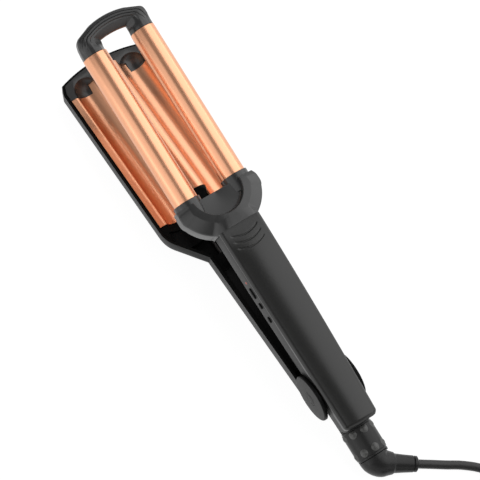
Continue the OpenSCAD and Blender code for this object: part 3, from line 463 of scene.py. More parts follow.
# %% [markdown]
# ## Cool tip
# An arch of heat-proof plastic joins the barrels' tips, so that a finger can hold them. Its two
# feet are as round as the barrels and turn into a flat bow with a raised outer band, a step, and a
# sloped inner face. Two fine grooves run along the band. It is a stack of sections from one foot to
# the other: at each station one point on the arch's inner line and one on its outer line span the
# section, whose outline blends from a circle into the bow's profile.

# %% Cool tip
BRIDGE_END, BRIDGE_HW, WINDOW_HW, WINDOW_END = 324.7, 30.7, 11.4, 311.4
FOOT_Y, FOOT_R = BARREL_END + 0.25, 9.75
INNER_R = 60.0  # radius of the window's outer end, in plan
BOW_MIDDLE = 7.9  # height of the middle of the bow's profile
HALF_STATIONS = 40


def even(line, count):
    """`count` points evenly spaced along a plan line."""
    reach = np.concatenate([[0], np.cumsum(np.linalg.norm(np.diff(line, axis=0), axis=1))])
    at = np.linspace(0, reach[-1], count)
    return np.stack([np.interp(at, reach, line[:, k]) for k in range(2)], axis=1)


def bow(half_width, end_y, corner_y, radius):
    """Right half of an arch in plan, from its foot to its middle: straight up, round a corner, and
    along a flat arc that is level at the middle. Of the rounded outline, with nine points at each
    corner, only the second and third corners are kept."""
    sag = end_y - corner_y
    flat = ((half_width - 1.6) ** 2 + sag ** 2) / (2 * sag)
    a = np.linspace(np.arcsin((half_width - 1.6) / flat), 0, 30)
    arc = np.stack([flat * np.sin(a), end_y - flat + flat * np.cos(a)], axis=1)
    turn = rounded([(half_width, FOOT_Y), (half_width - 0.1, corner_y - 5.5), arc[0], arc[12],
                    (0, FOOT_Y)], [0.01, radius, radius, 0.01, 0.01], 8)[9:27]
    line = np.concatenate([[(half_width, FOOT_Y), (half_width, FOOT_Y + 4)], turn, arc[14:]])
    return even(line, HALF_STATIONS)


outer_line = bow(BRIDGE_HW, BRIDGE_END, corner_y=317.0, radius=5.0)
inner_foot = [(WINDOW_HW, FOOT_Y), (WINDOW_HW, FOOT_Y + 6.5)]
inner_arc = np.linspace(np.arcsin(WINDOW_HW / INNER_R), 0, 12)
inner_bow = np.stack([INNER_R * np.sin(inner_arc),
                      WINDOW_END - INNER_R + INNER_R * np.cos(inner_arc)], axis=1)
inner_line = even(np.concatenate([inner_foot, inner_bow]), HALF_STATIONS)
outer_line = np.concatenate([outer_line, outer_line[-2::-1] * [-1, 1]])
inner_line = np.concatenate([inner_line, inner_line[-2::-1] * [-1, 1]])
span = np.linalg.norm(outer_line - inner_line, axis=1)


def bow_section(width, roundness):
    """Outline of one section: share across from inner to outer line, and height. Near a foot it is
    a circle a little smaller than the barrel. In the bow it has a sloped inner face, a step, and a
    raised band with two fine grooves."""
    flat = rounded([(0, 3.4), (0, 7.0), (0.36 * width, 12.0), (0.46 * width, 12.2),
                    (0.50 * width, 13.2), (0.60 * width, 13.4), (0.63 * width, 12.8),
                    (0.66 * width, 13.45), (0.76 * width, 13.5), (0.79 * width, 12.8),
                    (0.82 * width, 13.3), (width - 0.9, 12.9), (width, 11.4), (width, 4.6),
                    (width - 1.8, 2.6), (1.4, 2.6)],
                   [0.5, 1.0, 0.6, 0.2, 0.3, 0.12, 0.1, 0.12,
                    0.12, 0.1, 0.12, 0.5, 0.7, 1.0, 1.0, 0.5], 4)
    centre = np.array([width / 2, BOW_MIDDLE])
    angle = np.arctan2(flat[:, 1] - centre[1], flat[:, 0] - centre[0])
    ring = np.stack([width / 2 + FOOT_R * np.cos(angle), BARREL_Z + FOOT_R * np.sin(angle)], axis=1)
    mixed = roundness * ring + (1 - roundness) * flat
    return mixed[:, 0] / width, mixed[:, 1]


stations = []
travelled = np.minimum(np.arange(len(span)), np.arange(len(span))[::-1]) / (len(span) // 2)
for k, width in enumerate(span):
    share, height = bow_section(width, 1 - eased((travelled[k] - 0.05) / 0.30))
    plan = inner_line[k] + share[:, None] * (outer_line[k] - inner_line[k])
    stations.append(np.column_stack([plan, height]))
tip = loft("cool_tip", np.array(stations), upper, 30)
stands_for(tip, "upper_arm", "satin_black", "tip_bridge")
print("cool tip:", len(stations), "sections, span", span.min().round(1), "to", span.max().round(1))

# %% [markdown]
# ## Front cover
# The cover is a moulded lid, a little crowned from side to side, so that its left part mirrors the
# dark gap between the lights and its right part the light. It closes the handle's top and wraps its
# upper corners down to the seam on the side walls. It is a stack of C-shaped sections: an outer
# outline, and an inner one a wall's thickness inside it. Three grooves near the neck give the
# fingers a hold. They bow towards the cord in the middle.

# %% Front cover
HANDLE_END, HANDLE_LEN, COVER_WALL, CORNER_R = -33.0, 136.0, 2.0, 2.6
NECK_START = 136.15  # where the handle's top starts to fall to the neck
CROWN, CROWN_FADE = 2.2, 30.0  # height, and the length over which it fades out
GROOVES = (128.0, 122.8, 117.6)
GROOVE_DEPTH, GROOVE_WIDTH, GROOVE_BOW, GROOVE_HW = 0.4, 0.6, 0.024, 11.8


def handle_taper(y):
    """Share of the way from the narrow cord end (0) to the neck (1), rising fast, then slowly."""
    return 1 - (1 - np.clip((y - HANDLE_END) / (HANDLE_LEN - HANDLE_END), 0, 1)) ** 1.7


def wall_x(y):
    """Half width of the handle along the arm."""
    return 14.2 + 3.3 * handle_taper(y)


def cover_section(y):
    """One section: half width and height follow the taper. The crown is a parabola that fades out
    to the neck, the corners are arcs, and the seam lies at the corners' foot or on a slanted
    plane, whichever is lower."""
    tuck = np.clip((HANDLE_END + 2.2 - y) / 3.4, 0, 1)
    half = wall_x(y) + 0.03 - 2.0 * tuck ** 2
    fall = 2.5 * (1 - handle_taper(y))
    high = 25.0 - fall - 1.6 * tuck ** 2 - 0.178 * max(0, y - NECK_START)
    seam_z = min(high - 3.4, 15.0 + (y + 43.0) / 181.0 * 9.77)
    crown = CROWN * eased((HANDLE_LEN - y) / CROWN_FADE)
    x = np.linspace(-1, 1, 49) * (half - CORNER_R)
    groove = sum(GROOVE_DEPTH * np.exp(-((y - middle - GROOVE_BOW * x * x) / GROOVE_WIDTH) ** 2)
                 for middle in GROOVES)
    hold = np.clip((GROOVE_HW - np.abs(x)) / 1.5, 0, 1)
    face = high + crown * (1 - (x / (half - CORNER_R)) ** 2) - groove * hold
    a = np.linspace(pi, pi / 2, 9)[:-1]
    corner = np.column_stack([CORNER_R - half + CORNER_R * np.cos(a),
                              high - CORNER_R + CORNER_R * np.sin(a)])
    foot = np.array([[-half + 0.35, seam_z + 0.03], [-half, seam_z + 0.38]])
    left = np.concatenate([foot, corner])
    outer = np.concatenate([left, np.column_stack([x, face]), left[::-1] * [-1, 1]])
    wall = COVER_WALL * (1 - COVER_WALL / half)
    inner = outer * [1 - COVER_WALL / half, 1] - [0, wall]
    inner[:, 1] = seam_z + 0.03 if tuck > 0 else np.maximum(inner[:, 1], seam_z + 0.03)
    ring = np.concatenate([outer, inner[::-1]])
    return np.column_stack([ring[:, 0], np.full(len(ring), y), ring[:, 1]])


cover_y = np.concatenate([HANDLE_END + np.array([-1.2, -0.9, -0.4, 0.3, 1.2, 2.2, 2.3, 3.5]),
                          np.arange(HANDLE_END + 6, 114, 4.0), np.arange(114, 133.1, 0.2),
                          [134, 135, 136.1, 136.9, 137.3]])
cover = loft("crowned_cover", np.array([cover_section(y) for y in cover_y]), upper, 32)
stands_for(cover, "upper_arm", "matte_black", "handle_cover")
print("cover:", len(cover_y), "sections")

# %% [markdown]
# ## Neck
# The handle widens into a Y-shaped neck that holds both barrels. Its face has a round scoop, open
# to the barrels, inside a broad U-shaped band that slopes outwards to a steep side wall. Every cut
# through the scoop's axis has the same kind of outline, so the neck is half a turn of such outlines
# about that axis, whose outer end follows the neck's plan. A round cup holds each collar's foot.

# %% Neck
SCOOP_R, SCOOP_Y, SCOOP_Z, FLOOR_SLOPE = 19.6, 167.6, 12.0, 0.105
neck_plan = rounded([(-17.4, NECK_START), (-17.4, 120), (17.4, 120), (17.4, NECK_START),
                     (34.5, 156.0), (34.5, 164), (31.6, 170),
                     (-31.6, 170), (-34.5, 164), (-34.5, 156.0)],
                    [6, 1, 1, 6, 7, 3, 1, 1, 3, 7], 8)
plan_angle = np.arctan2(SCOOP_Y - neck_plan[:, 1], neck_plan[:, 0])
plan_reach = np.hypot(neck_plan[:, 0], neck_plan[:, 1] - SCOOP_Y)
order = np.argsort(plan_angle)


def neck_reach(angle):
    """Distance from the scoop's axis to the plan at an angle, cut off at the handle's end."""
    far = np.interp(angle, plan_angle[order], plan_reach[order])
    back = (SCOOP_Y - NECK_START) / np.maximum(np.sin(angle), 1e-6)
    return np.minimum(far, np.where(np.sin(angle) > 0.5, back, far))


def top_height(y):
    """Height of the neck's face along the arm, from the handle's top down to the barrels."""
    return np.interp(y, [136, 145, 157, 163, 170], [25.0, 23.4, 21.0, 19.7, 17.8])


neck_rings = []
for a in np.linspace(0, pi, 145):
    reach = neck_reach(a)
    floor = SCOOP_Z + FLOOR_SLOPE * SCOOP_R * np.sin(a)
    lip = top_height(SCOOP_Y - (SCOOP_R + 1) * np.sin(a))
    back = eased((np.sin(a) - 0.8) / 0.16)  # 1 where the ring ends at the handle
    back_z = top_height(SCOOP_Y - reach * np.sin(a)) - 0.2
    edge_z = (1 - back) * (lip - 5.2) + back * back_z
    inner = max(SCOOP_R + 1.2, reach - 11)
    ring = rounded([(0.01, SCOOP_Z), (SCOOP_R - 1.2, floor), (SCOOP_R, floor + 1.4),
                    (SCOOP_R + 0.25, lip), (inner + 1.5, lip + 0.12 * (edge_z - lip)),
                    (reach, edge_z), (reach, 2.2), (reach - 2.4, 0.7), (0.01, 0.7)],
                   [0.005, 0.6, 0.5, 0.5, 2.0, 1.8, 0.8, 0.8, 0.005], 5)
    neck_rings.append(np.column_stack([ring[:, 0] * np.cos(a), SCOOP_Y - ring[:, 0] * np.sin(a),
                                       ring[:, 1]]))
neck = loft("neck_yoke", np.array(neck_rings), upper, 32)
stands_for(neck, "upper_arm", "satin_black", "neck_base", "neck_cover")

CUP_R, CUP_TOP = 12.8, 7.2
cup_outline = rounded([(10.9, 159.5), (CUP_R - 0.8, 159.5), (CUP_R, 161), (CUP_R, 167),
                       (11.25, 167)], [0.1, 0.5, 0.5, 0.6, 0.1], 4)


def flat_top(radius, along, angle):
    """Radius of a round cup whose top is cut level, so that it stays under the scoop's floor."""
    rise = np.sin(angle)
    return np.where(rise * radius > CUP_TOP, CUP_TOP / np.maximum(rise, 0.1), radius)


for side_name, s in SIDES:
    cup = lathe(side_name + "_cup", cup_outline, upper, (s * BARREL_X, BARREL_Z), sides=144,
                reach=flat_top)
    stands_for(cup, "upper_arm", "satin_black")
print("neck:", len(neck_rings), "sections round the scoop")

# %% [markdown]
# ## Waved plate
# The heated plate of the lower jaw is one aluminium sheet, 1.4 mm thick, pressed into two troughs
# with a ridge between them, and coated like the barrels. Its section is two arcs about the closed
# barrels' axes, a narrow level lip on each side and an arc about the middle line. The ridge starts
# later than the troughs, and the outer parts stop short of the beds in the nose, so each point of
# the section has its own start and end.

# %% Waved plate
TROUGH_R, RIDGE_R, FILLET_R, PLATE_T, PLATE_HW = 11.2, 9.8, 3.0, 1.4, 37.2
TROUGH_START, RIDGE_LATER, RIDGE_HW = 175, 9, 10.6
PLATE_END, OUTER_END, OUTER_X = 310.0, 302.0, 17.4
fillet_x = BARREL_X + sqrt((TROUGH_R + FILLET_R) ** 2 - (BARREL_Z + FILLET_R) ** 2)
fillet_mid = np.array([fillet_x, -FILLET_R])
dip_start = np.arctan2(fillet_mid[1] - BARREL_Z, fillet_mid[0] - BARREL_X)
dip = np.linspace(dip_start, -pi, 40)
crest = np.linspace(0, pi / 2, 24)
fillet = np.linspace(pi / 2, pi + dip_start, 12)[:-1]
lip_x = np.linspace(PLATE_HW, fillet_x + 0.3, 5)


def arc_points(middle_x, middle_z, radius, angle, outwards=1):
    """Points of an arc, each with its unit normal away from the middle, or towards it with -1."""
    c, s = np.cos(angle), np.sin(angle)
    place = middle_x + radius * c, middle_z + radius * s
    return np.column_stack([*place, outwards * c, outwards * s])


half_section = np.concatenate([
    np.column_stack([lip_x, np.zeros(5), np.zeros(5), np.ones(5)]),
    arc_points(*fillet_mid, FILLET_R, fillet),
    arc_points(BARREL_X, BARREL_Z, TROUGH_R, dip, outwards=-1),
    arc_points(0, BARREL_Z, RIDGE_R, crest)[1:]])
other_half = half_section[-2::-1] * [-1, 1, -1, 1]
section = np.concatenate([half_section, other_half])
across = np.abs(section[:, 0])
start_y = TROUGH_START + RIDGE_LATER * np.clip((RIDGE_HW - across) / 0.9, 0, 1)
end_y = np.where(across > OUTER_X, OUTER_END, PLATE_END)
along = np.array([0, 0.002, 0.01, 0.1, 0.3, 0.5, 0.7, 0.9, 0.99, 0.998, 1])[:, None]
level = start_y[None] + along * (end_y - start_y)[None]
top = np.stack([section[:, 0] + 0 * along, level, section[:, 1] + 0 * along], axis=-1)
normal = np.stack([section[:, 2] + 0 * along, 0 * level, section[:, 3] + 0 * along], axis=-1)
plate = sheet("pressed_plate", top, top - PLATE_T * normal, lower, 40)
edged(plate, 0.25, 50)
stands_for(plate, "lower_jaw", "copper_coat", "wave_plate")
print("plate section:", len(section), "points")

# %% [markdown]
# ## Swivel
# The cord turns in a sleeve behind the handle. The sleeve was moulded with two rows of round pads
# to hold while the cord is turned, and a fine groove at each end. It is a turned piece whose
# radius rises at the pads. The elbow is a round tube along a bent line: wide where it meets the
# sleeve, then a smooth knuckle, then a strain relief that tapers to the cord and ends in a thin
# ring.

# %% Sleeve
SLEEVE_R, SLEEVE_BORE = 12.6, 9.0
PAD_ROWS, PAD_R, PAD_RISE = (SLEEVE_START - 4.3, SLEEVE_START - 19.9), 3.4, 1.2
PADS, PAD_TURN = 8, 0.84  # pads in a row, and their place as a share of one step
RING_GROOVES, RING_DEPTH = (SLEEVE_START - 0.9, SLEEVE_END + 1.5), 0.5
along_sleeve = np.linspace(SLEEVE_START, SLEEVE_END + 0.9, 110)
sleeve_outline = np.concatenate([
    [(SLEEVE_BORE, SLEEVE_START), (SLEEVE_R - 1.0, SLEEVE_START),
     (SLEEVE_R - 0.4, SLEEVE_START - 0.15)],
    np.column_stack([np.full(106, SLEEVE_R), along_sleeve[2:-2]]),
    [(SLEEVE_R - 0.25, SLEEVE_END + 0.45), (SLEEVE_R - 0.8, SLEEVE_END + 0.1),
     (SLEEVE_R - 1.3, SLEEVE_END), (SLEEVE_BORE, SLEEVE_END)]])


def padded_radius(radius, along, angle):
    """Radius with eight round pads in each row, and a fine groove at each end. A pad is a low dome
    whose rise is (1 - (distance / pad radius)^2)^1.5. The bore stays plain."""
    turn = (angle / (2 * pi) * PADS - PAD_TURN + 0.5) % 1 - 0.5
    beside = turn / PADS * 2 * pi * SLEEVE_R
    outside = np.clip((radius - 11.2) / 1.2, 0, 1)
    rise = 0
    for centre in PAD_ROWS:
        away = np.sqrt(beside ** 2 + (along - centre) ** 2)
        rise = rise + (1 - np.clip(away / PAD_R, 0, 1) ** 2) ** 1.5
    ring = sum(np.clip((0.7 - np.abs(along - centre)) / 0.35, 0, 1) for centre in RING_GROOVES)
    return radius + outside * (PAD_RISE * rise - RING_DEPTH * ring)


sleeve = lathe("grip_sleeve", sleeve_outline, upper, (0, SLEEVE_Z), sides=288, reach=padded_radius,
               smooth_angle=30)
stands_for(sleeve, "upper_arm", "satin_black", "swivel_sleeve", look="swivel_black")
print("sleeve:", len(PAD_ROWS), "rows of", PADS, "pads")


# %% Elbow and strain relief
def level_line(x, y):
    """Points at the height of the sleeve's axis."""
    return np.column_stack(np.broadcast_arrays(x, y, SLEEVE_Z))


BEND_R = 9.0
tangent = BEND_R * tan(ELBOW_ANGLE / 2)
straight_part = level_line(0.0, np.linspace(SLEEVE_END - 0.12, ELBOW_Y + 5, 6))
bend_angle = np.linspace(0, ELBOW_ANGLE, 14)
bend = level_line(BEND_R * (1 - np.cos(bend_angle)),
                  ELBOW_Y + tangent - BEND_R * np.sin(bend_angle))
leg_at = np.linspace(tangent + 0.5, RELIEF_LEN, 44)
leg = level_line(leg_at * sin(ELBOW_ANGLE), ELBOW_Y - leg_at * cos(ELBOW_ANGLE))
elbow_path = np.concatenate([straight_part[:-1], bend, leg])
covered = np.concatenate([[0], np.cumsum(np.linalg.norm(np.diff(elbow_path, axis=0), axis=1))])
left_over = covered[-1] - covered
radius_at = [0, 0.15, 0.5, 2.4, 2.6, 3.1, 3.3, 10, 17, 18, 18.6, 22, 27, 32, 36, 60]
radius_is = [5.2, 5.7, 6.0, 6.1, 5.5, 5.5, 6.3, 6.7, 7.3, 7.5, 8.3, 9.2, 10.9, 12.0, 12.3, 12.3]
elbow = tube("elbow_relief", elbow_path, np.interp(left_over, radius_at, radius_is), 64, upper)
stands_for(elbow, "cord_swivel", "satin_black", "swivel_elbow", look="swivel_black")
print("elbow path", covered[-1].round(1), "mm")

# %% [markdown]
# ## Hinge caps and buttons
# A cap closes the pin's bore in each cheek: a low dome with a fine ring. The power button is a long
# dome and the two heat buttons are round ones. Each stands a little more than its travel out of the
# left wall. The light beside them is a low red dome.

# %% Caps, buttons and light
CAP_FACE = 18.7  # outer face of a cheek, from the middle
CAP_PROFILE = [(0, -1.2), (5.3, -1.2), (5.45, -0.2), (5.2, 0.05), (4.3, 0.12), (4.1, -0.1),
               (3.9, 0.14), (2.0, 0.3), (0, 0.36)]  # radius, and height over the cheek
for side_name, s in SIDES:
    cap_outline = [(radius, s * (CAP_FACE + rise)) for radius, rise in CAP_PROFILE]
    cap = lathe(side_name + "_cap", cap_outline, lower, axis="x", sides=64)
    stands_for(cap, "lower_jaw", "satin_black", side_name + "_hinge_cap", look="cheek_grey")

BUTTON_Z, BUTTON_R, BUTTON_RISE = 14.0, 2.5, 1.05
POWER_Y, HEAT_UP_Y, HEAT_DOWN_Y, LIGHT_Y = 87.992, 76.992, 64.992, 96.992


def push_button(name, y, length, body, node_name, slot="gloss_black", radius=BUTTON_R,
                rise=BUTTON_RISE):
    """A domed button in the left wall: rings of a long rounded outline, drawn in to the top."""
    a = np.linspace(0, 2 * pi, 64, endpoint=False)
    face = -wall_x(y) - rise
    depth = np.array([3.9, 0.75, 0.45, 0.22, 0.08, 0.0, -0.08, -0.14, -0.17])
    inset = np.array([0, 0, 0.06, 0.2, 0.45, 0.8, 1.3, 1.8, 2.2]) * radius / BUTTON_R
    shift = np.sign(np.cos(a)) * (length / 2 - radius)
    rings = []
    for d, i in zip(depth, inset):
        rings.append(np.column_stack([np.full(len(a), face + d),
                                      y + shift + (radius - i) * np.cos(a),
                                      BUTTON_Z + (radius - i) * np.sin(a)]))
    return stands_for(loft(name, np.array(rings), upper, 40), body, slot, node_name)


push_button("power_cap", POWER_Y, 9.0, "power", "power_button")
push_button("heat_up_cap", HEAT_UP_Y, 5.0, "heat_up", "heat_up_button")
push_button("heat_down_cap", HEAT_DOWN_Y, 5.0, "heat_down", "heat_down_button")
push_button("light_cap", LIGHT_Y, 2.4, "upper_arm", "status_light", "light_pipe", radius=1.2,
            rise=0.1)
print("buttons at", (POWER_Y, HEAT_UP_Y, HEAT_DOWN_Y), "mm along the upper arm")

# %% [markdown]
# ## Light and ground
# The tool was photographed on white, with a large soft light on each side and none at the camera,
# so that each barrel shows two long bright bands with a dark line between them.

# %% Ground
GROUND_HALF = 3.0
PAPER_GREY, PAPER_GLOW, PAPER_SHARE = 0.82, 1.16, 0.80
square = np.array([[-1, -1, 0], [1, -1, 0], [1, 1, 0], [-1, 1, 0]])
ground = put_mesh("ground", square * GROUND_HALF, [np.array([[0, 1, 2, 3]])])


def set_inputs(node, values):
    """Sets a node's inputs from their labels and values."""
    for label, value in values.items():
        node.inputs[label].default_value = value


def new_maths(tree, operation):
    """A node that joins two values."""
    node = tree.nodes.new("ShaderNodeMath")
    node.operation = operation
    return node


def paper_material():
    """White paper: seen by the camera, or mirrored in the tool, four fifths of it are plain white.
    The rest is real shading, which keeps the tool's soft shadow."""
    material = bpy.data.materials.new("paper")
    material.use_nodes = True
    tree = material.node_tree
    tree.nodes.clear()
    make, link = tree.nodes.new, tree.links.new
    output = make("ShaderNodeOutputMaterial")
    diffuse = make("ShaderNodeBsdfDiffuse")
    set_inputs(diffuse, {"Color": (PAPER_GREY, PAPER_GREY, PAPER_GREY, 1)})
    white = make("ShaderNodeEmission")
    set_inputs(white, {"Strength": PAPER_GLOW})
    path = make("ShaderNodeLightPath")
    seen, mirrored = new_maths(tree, "MAXIMUM"), new_maths(tree, "MAXIMUM")
    share = new_maths(tree, "MULTIPLY")
    share.inputs[1].default_value = PAPER_SHARE
    mix = make("ShaderNodeMixShader")
    link(path.outputs["Is Glossy Ray"], mirrored.inputs[0])
    link(path.outputs["Is Transmission Ray"], mirrored.inputs[1])
    link(path.outputs["Is Camera Ray"], seen.inputs[0])
    link(mirrored.outputs[0], seen.inputs[1])
    link(seen.outputs[0], share.inputs[0])
    link(share.outputs[0], mix.inputs["Fac"])
    link(diffuse.outputs[0], mix.inputs[1])
    link(white.outputs[0], mix.inputs[2])
    link(mix.outputs[0], output.inputs["Surface"])
    return material


ground.data.materials.append(paper_material())
print("ground:", 2 * GROUND_HALF, "m square")


# %% Lamps
def soft_light(name, place, aim, width, height, watts):
    """A rectangular lamp at a place, turned to face the aim point."""
    data = bpy.data.lights.new(name, "AREA")
    data.shape = "RECTANGLE"
    data.size = width
    data.size_y = height
    data.energy = watts
    lamp = in_scene(name, data)
    away = Vector(place) - Vector(aim)
    facing = away.to_track_quat("Z", "Y").to_matrix().to_4x4()
    lamp.matrix_world = Matrix.Translation(place) @ facing
    print(name, width, "by", height, "m,", watts, "W")


TOOL_MIDDLE = (0, 0.05, 0.06)
soft_light("right_light", (0.90, -0.10, 0.95), TOOL_MIDDLE, 2.0, 1.7, 16.5)
soft_light("left_light", (-1.05, -0.08, 0.74), TOOL_MIDDLE, 1.22, 1.7, 6.0)

# %% World
STUDIO_FILL = 0.25
PAPER_TOP, STUDIO_FOOT = 0.26, 0.42  # sines of 15 and 25 degrees above the ground


def studio_world():
    """White paper all round up to 15 degrees above the ground, as the ground is, and a grey studio
    above it, reached by 25 degrees. The camera sees the paper everywhere."""
    world = bpy.data.worlds.new("studio")
    world.use_nodes = True
    tree = world.node_tree
    make, link = tree.nodes.new, tree.links.new
    background = tree.nodes["Background"]
    set_inputs(background, {"Color": (1, 1, 1, 1)})
    split = make("ShaderNodeSeparateXYZ")
    link(make("ShaderNodeTexCoord").outputs["Generated"], split.inputs[0])
    height = make("ShaderNodeMapRange")
    set_inputs(height, {"From Min": PAPER_TOP, "From Max": STUDIO_FOOT,
                        "To Min": 1.0, "To Max": STUDIO_FILL})
    link(split.outputs["Z"], height.inputs["Value"])
    seen = new_maths(tree, "MAXIMUM")
    link(make("ShaderNodeLightPath").outputs["Is Camera Ray"], seen.inputs[0])
    link(height.outputs["Result"], seen.inputs[1])
    link(seen.outputs[0], background.inputs["Strength"])
    return world


bpy.context.scene.world = studio_world()
print("studio fill", STUDIO_FILL)
bpy.context.scene.view_settings.view_transform = "Standard"

# %% [markdown]
# ## Finishes
# Each finish is one material with its own shader. What several finishes share, such as the fine
# grain of moulded plastic, is a node group that puts out values for the shader's sockets.


# %% Shared effects
FLOAT, COLOUR = "NodeSocketFloat", "NodeSocketColor"


def moulded_grain():
    """A group for fine spark-eroded grain: a small noise for the height, and a large slow one that
    drifts the colour and the roughness between their two values."""
    group = bpy.data.node_groups.new("moulded_grain", "ShaderNodeTree")
    for label, kind in (("Scale", FLOAT), ("Colour A", COLOUR), ("Colour B", COLOUR),
                        ("Rough A", FLOAT), ("Rough B", FLOAT)):
        group.interface.new_socket(label, in_out="INPUT", socket_type=kind)
    for label, kind in (("Colour", COLOUR), ("Roughness", FLOAT), ("Height", FLOAT)):
        group.interface.new_socket(label, in_out="OUTPUT", socket_type=kind)
    make, link = group.nodes.new, group.links.new
    given, put = make("NodeGroupInput"), make("NodeGroupOutput")
    coord = make("ShaderNodeTexCoord")
    fine = make("ShaderNodeTexNoise")
    set_inputs(fine, {"Detail": 3})
    slow = make("ShaderNodeTexNoise")
    set_inputs(slow, {"Scale": 22, "Detail": 4})
    link(coord.outputs["Object"], fine.inputs["Vector"])
    link(coord.outputs["Object"], slow.inputs["Vector"])
    link(given.outputs["Scale"], fine.inputs["Scale"])
    link(fine.outputs["Fac"], put.inputs["Height"])
    for kind, label, result in (("RGBA", "Colour", "Colour"), ("FLOAT", "Rough", "Roughness")):
        mix = make("ShaderNodeMix")
        mix.data_type = kind
        link(slow.outputs["Fac"], mix.inputs["Factor"])
        link(given.outputs[label + " A"], mix.inputs["A"])
        link(given.outputs[label + " B"], mix.inputs["B"])
        link(mix.outputs["Result"], put.inputs[result])
    return group


grain_group = moulded_grain()
print("shared effect:", grain_group.name)
BUMP_HEIGHT = 0.0001  # in metres
COAT_ROUGH = 0.05


def finish(name, darker, lighter, roughs, grain_scale, bump, metallic=0.0, coat=0.0, specular=0.5):
    """One material: the grain group drives colour, roughness and a bump. The rest are constants."""
    material = bpy.data.materials.new(name)
    material.use_nodes = True
    tree = material.node_tree
    shader = tree.nodes["Principled BSDF"]
    group = tree.nodes.new("ShaderNodeGroup")
    group.node_tree = grain_group
    set_inputs(group, {"Scale": grain_scale, "Colour A": (*darker, 1), "Colour B": (*lighter, 1),
                       "Rough A": roughs[0], "Rough B": roughs[1]})
    bumper = tree.nodes.new("ShaderNodeBump")
    set_inputs(bumper, {"Strength": bump, "Distance": BUMP_HEIGHT})
    link = tree.links.new
    link(group.outputs["Colour"], shader.inputs["Base Color"])
    link(group.outputs["Roughness"], shader.inputs["Roughness"])
    link(group.outputs["Height"], bumper.inputs["Height"])
    link(bumper.outputs["Normal"], shader.inputs["Normal"])
    set_inputs(shader, {"Metallic": metallic, "Coat Weight": coat, "Coat Roughness": COAT_ROUGH,
                        "Specular IOR Level": specular})
    return material


# %% [markdown]
# ## The finishes of the tool
# Blacks differ most in how they mirror the white paper and the lamps. The front cover has a fine
# grain and mirrors them softly, the side shell is duller, the lower arm is a smooth deep black, and
# what lies in the gap between the arms is painted nearly black, as painted shade for that gap. The
# copper coat is a metal: its colour is its mirror colour, and a low roughness keeps the lamps'
# edges as lines on the barrels.
# Each row of the table gives the darker and the lighter colour, the range of the roughness, the
# scale of the grain, the strength of its bump, and what else differs from plain plastic.

# %% The finishes
METAL = {"metallic": 1.0}


def grey(value):
    """A colour with red, green and blue alike."""
    return (value, value, value)


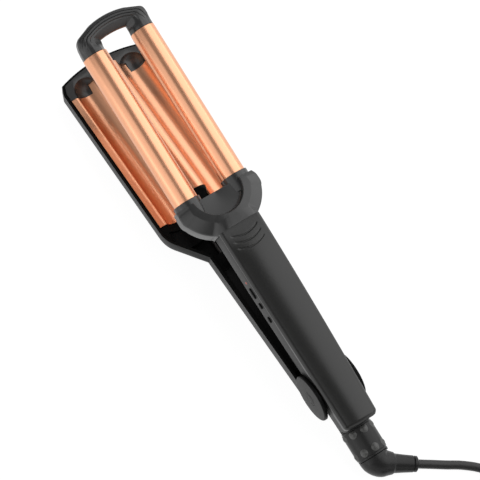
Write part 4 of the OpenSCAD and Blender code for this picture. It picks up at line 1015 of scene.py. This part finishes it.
finish_table = {
    "gloss_black": (grey(0.005), grey(0.008), (0.30, 0.38), 700, 0.04, {"specular": 0.05}),
    "cheek_grey": (grey(0.020), (0.032, 0.032, 0.031), (0.46, 0.54), 900, 0.3, {"specular": 0.16}),
    "pad_grey": ((0.045, 0.045, 0.044), (0.060, 0.060, 0.058), (0.34, 0.42), 900, 0.2, {}),
    "swivel_black": (grey(0.008), grey(0.012), (0.32, 0.40), 1300, 0.12, {"specular": 0.30}),
    # Painted shade: a near-black colour for the pieces that lie in the gap between the arms.
    "gap_shade_black": (grey(0.002), grey(0.004), (0.5, 0.6), 1200, 0.1, {"specular": 0.06}),
    "shell_black": ((0.010, 0.010, 0.0098), (0.014, 0.014, 0.0136), (0.40, 0.48), 1500, 0.12,
                    {"specular": 0.16}),
    "satin_black": (grey(0.013), grey(0.018), (0.28, 0.35), 1500, 0.10, {"specular": 0.62}),
    "matte_black": ((0.005, 0.005, 0.0046), (0.008, 0.008, 0.0073), (0.27, 0.33), 2200, 0.12,
                    {"specular": 0.52}),
    "copper_coat": ((0.82, 0.40, 0.235), (0.86, 0.44, 0.265), (0.29, 0.33), 1800, 0.02, METAL),
    "steel": ((0.55, 0.56, 0.58), (0.62, 0.63, 0.65), (0.25, 0.35), 1500, 0.1, METAL),
    "cast_alloy": ((0.62, 0.63, 0.65), (0.7, 0.71, 0.73), (0.45, 0.55), 900, 0.3, METAL),
    "heat_ceramic": ((0.80, 0.79, 0.74), (0.86, 0.85, 0.80), (0.55, 0.65), 1200, 0.3, {}),
    "heat_plastic": ((0.60, 0.58, 0.52), (0.66, 0.64, 0.58), (0.5, 0.6), 1500, 0.2, {}),
    "brass": ((0.78, 0.60, 0.28), (0.83, 0.66, 0.33), (0.22, 0.32), 1500, 0.1, METAL),
    "board": ((0.03, 0.14, 0.06), (0.04, 0.18, 0.08), (0.35, 0.45), 600, 0.2, {}),
    "wire_cover": ((0.010, 0.008, 0.008), (0.016, 0.012, 0.011), (0.45, 0.55), 900, 0.1, {}),
    "cord_cover": (grey(0.010), grey(0.014), (0.38, 0.46), 1100, 0.15, {}),
    "light_pipe": ((0.55, 0.06, 0.03), (0.6, 0.08, 0.04), (0.15, 0.2), 900, 0.05, {"coat": 0.5}),
}
looks = {name: finish(name, *values, **other)
         for name, (*values, other) in finish_table.items()}
print("finishes:", len(looks))


# %% Dress the pieces
def dress(piece, look_name):
    """Gives a piece its finish."""
    piece.data.materials.clear()
    piece.data.materials.append(looks[look_name])


for node_name, solid in nodes.items():
    dress(solid, slots[node_name])
dress(cord, "cord_cover")
for piece, look_name in dressed:
    dress(piece, look_name)
print("dressed pieces:", len(dressed))

# %% [markdown]
# ## Two finishes on one piece
# The pads of the sleeve are a little lighter than the sleeve, and the hinge's round cheeks are
# duller than the smooth arm. Each is of one moulding with its piece, so the mesh stays whole: the
# faces whose middle lies in the right place get a second material.


# %% Pads and cheeks
def middles(piece, tilt):
    """Middles of a piece's faces in an arm's frame, in mm: moved back from the pin, turned back."""
    mesh = piece.data
    centre = np.empty(len(mesh.polygons) * 3)
    mesh.polygons.foreach_get("center", centre)
    x, y, z = (centre.reshape(-1, 3) / MM - HINGE).T
    return x, y * cos(tilt) + z * sin(tilt), z * cos(tilt) - y * sin(tilt)


def second_finish(piece, look_name, chosen):
    """Gives the chosen faces a finish of their own."""
    piece.data.materials.append(looks[look_name])
    piece.data.polygons.foreach_set("material_index", chosen.astype(np.int32))
    print(piece.name, "has", look_name, "on", int(chosen.sum()), "faces")


PAD_EDGE, CHEEK_R, CHEEK_DEPTH = 0.08, 18, 0.6
x, y, z = middles(sleeve, UPPER_TILT)
second_finish(sleeve, "pad_grey", (np.hypot(x, z - SLEEVE_Z) > SLEEVE_R + PAD_EDGE)
              & (np.min([np.abs(y - row) for row in PAD_ROWS], axis=0) < PAD_R))
housing = bpy.data.objects["lower_housing_moulded"]
x, y, z = middles(housing, LOWER_TILT)
second_finish(housing, "cheek_grey",
              (np.abs(x) > CAP_FACE - CHEEK_DEPTH) & (np.hypot(y, z) < CHEEK_R))
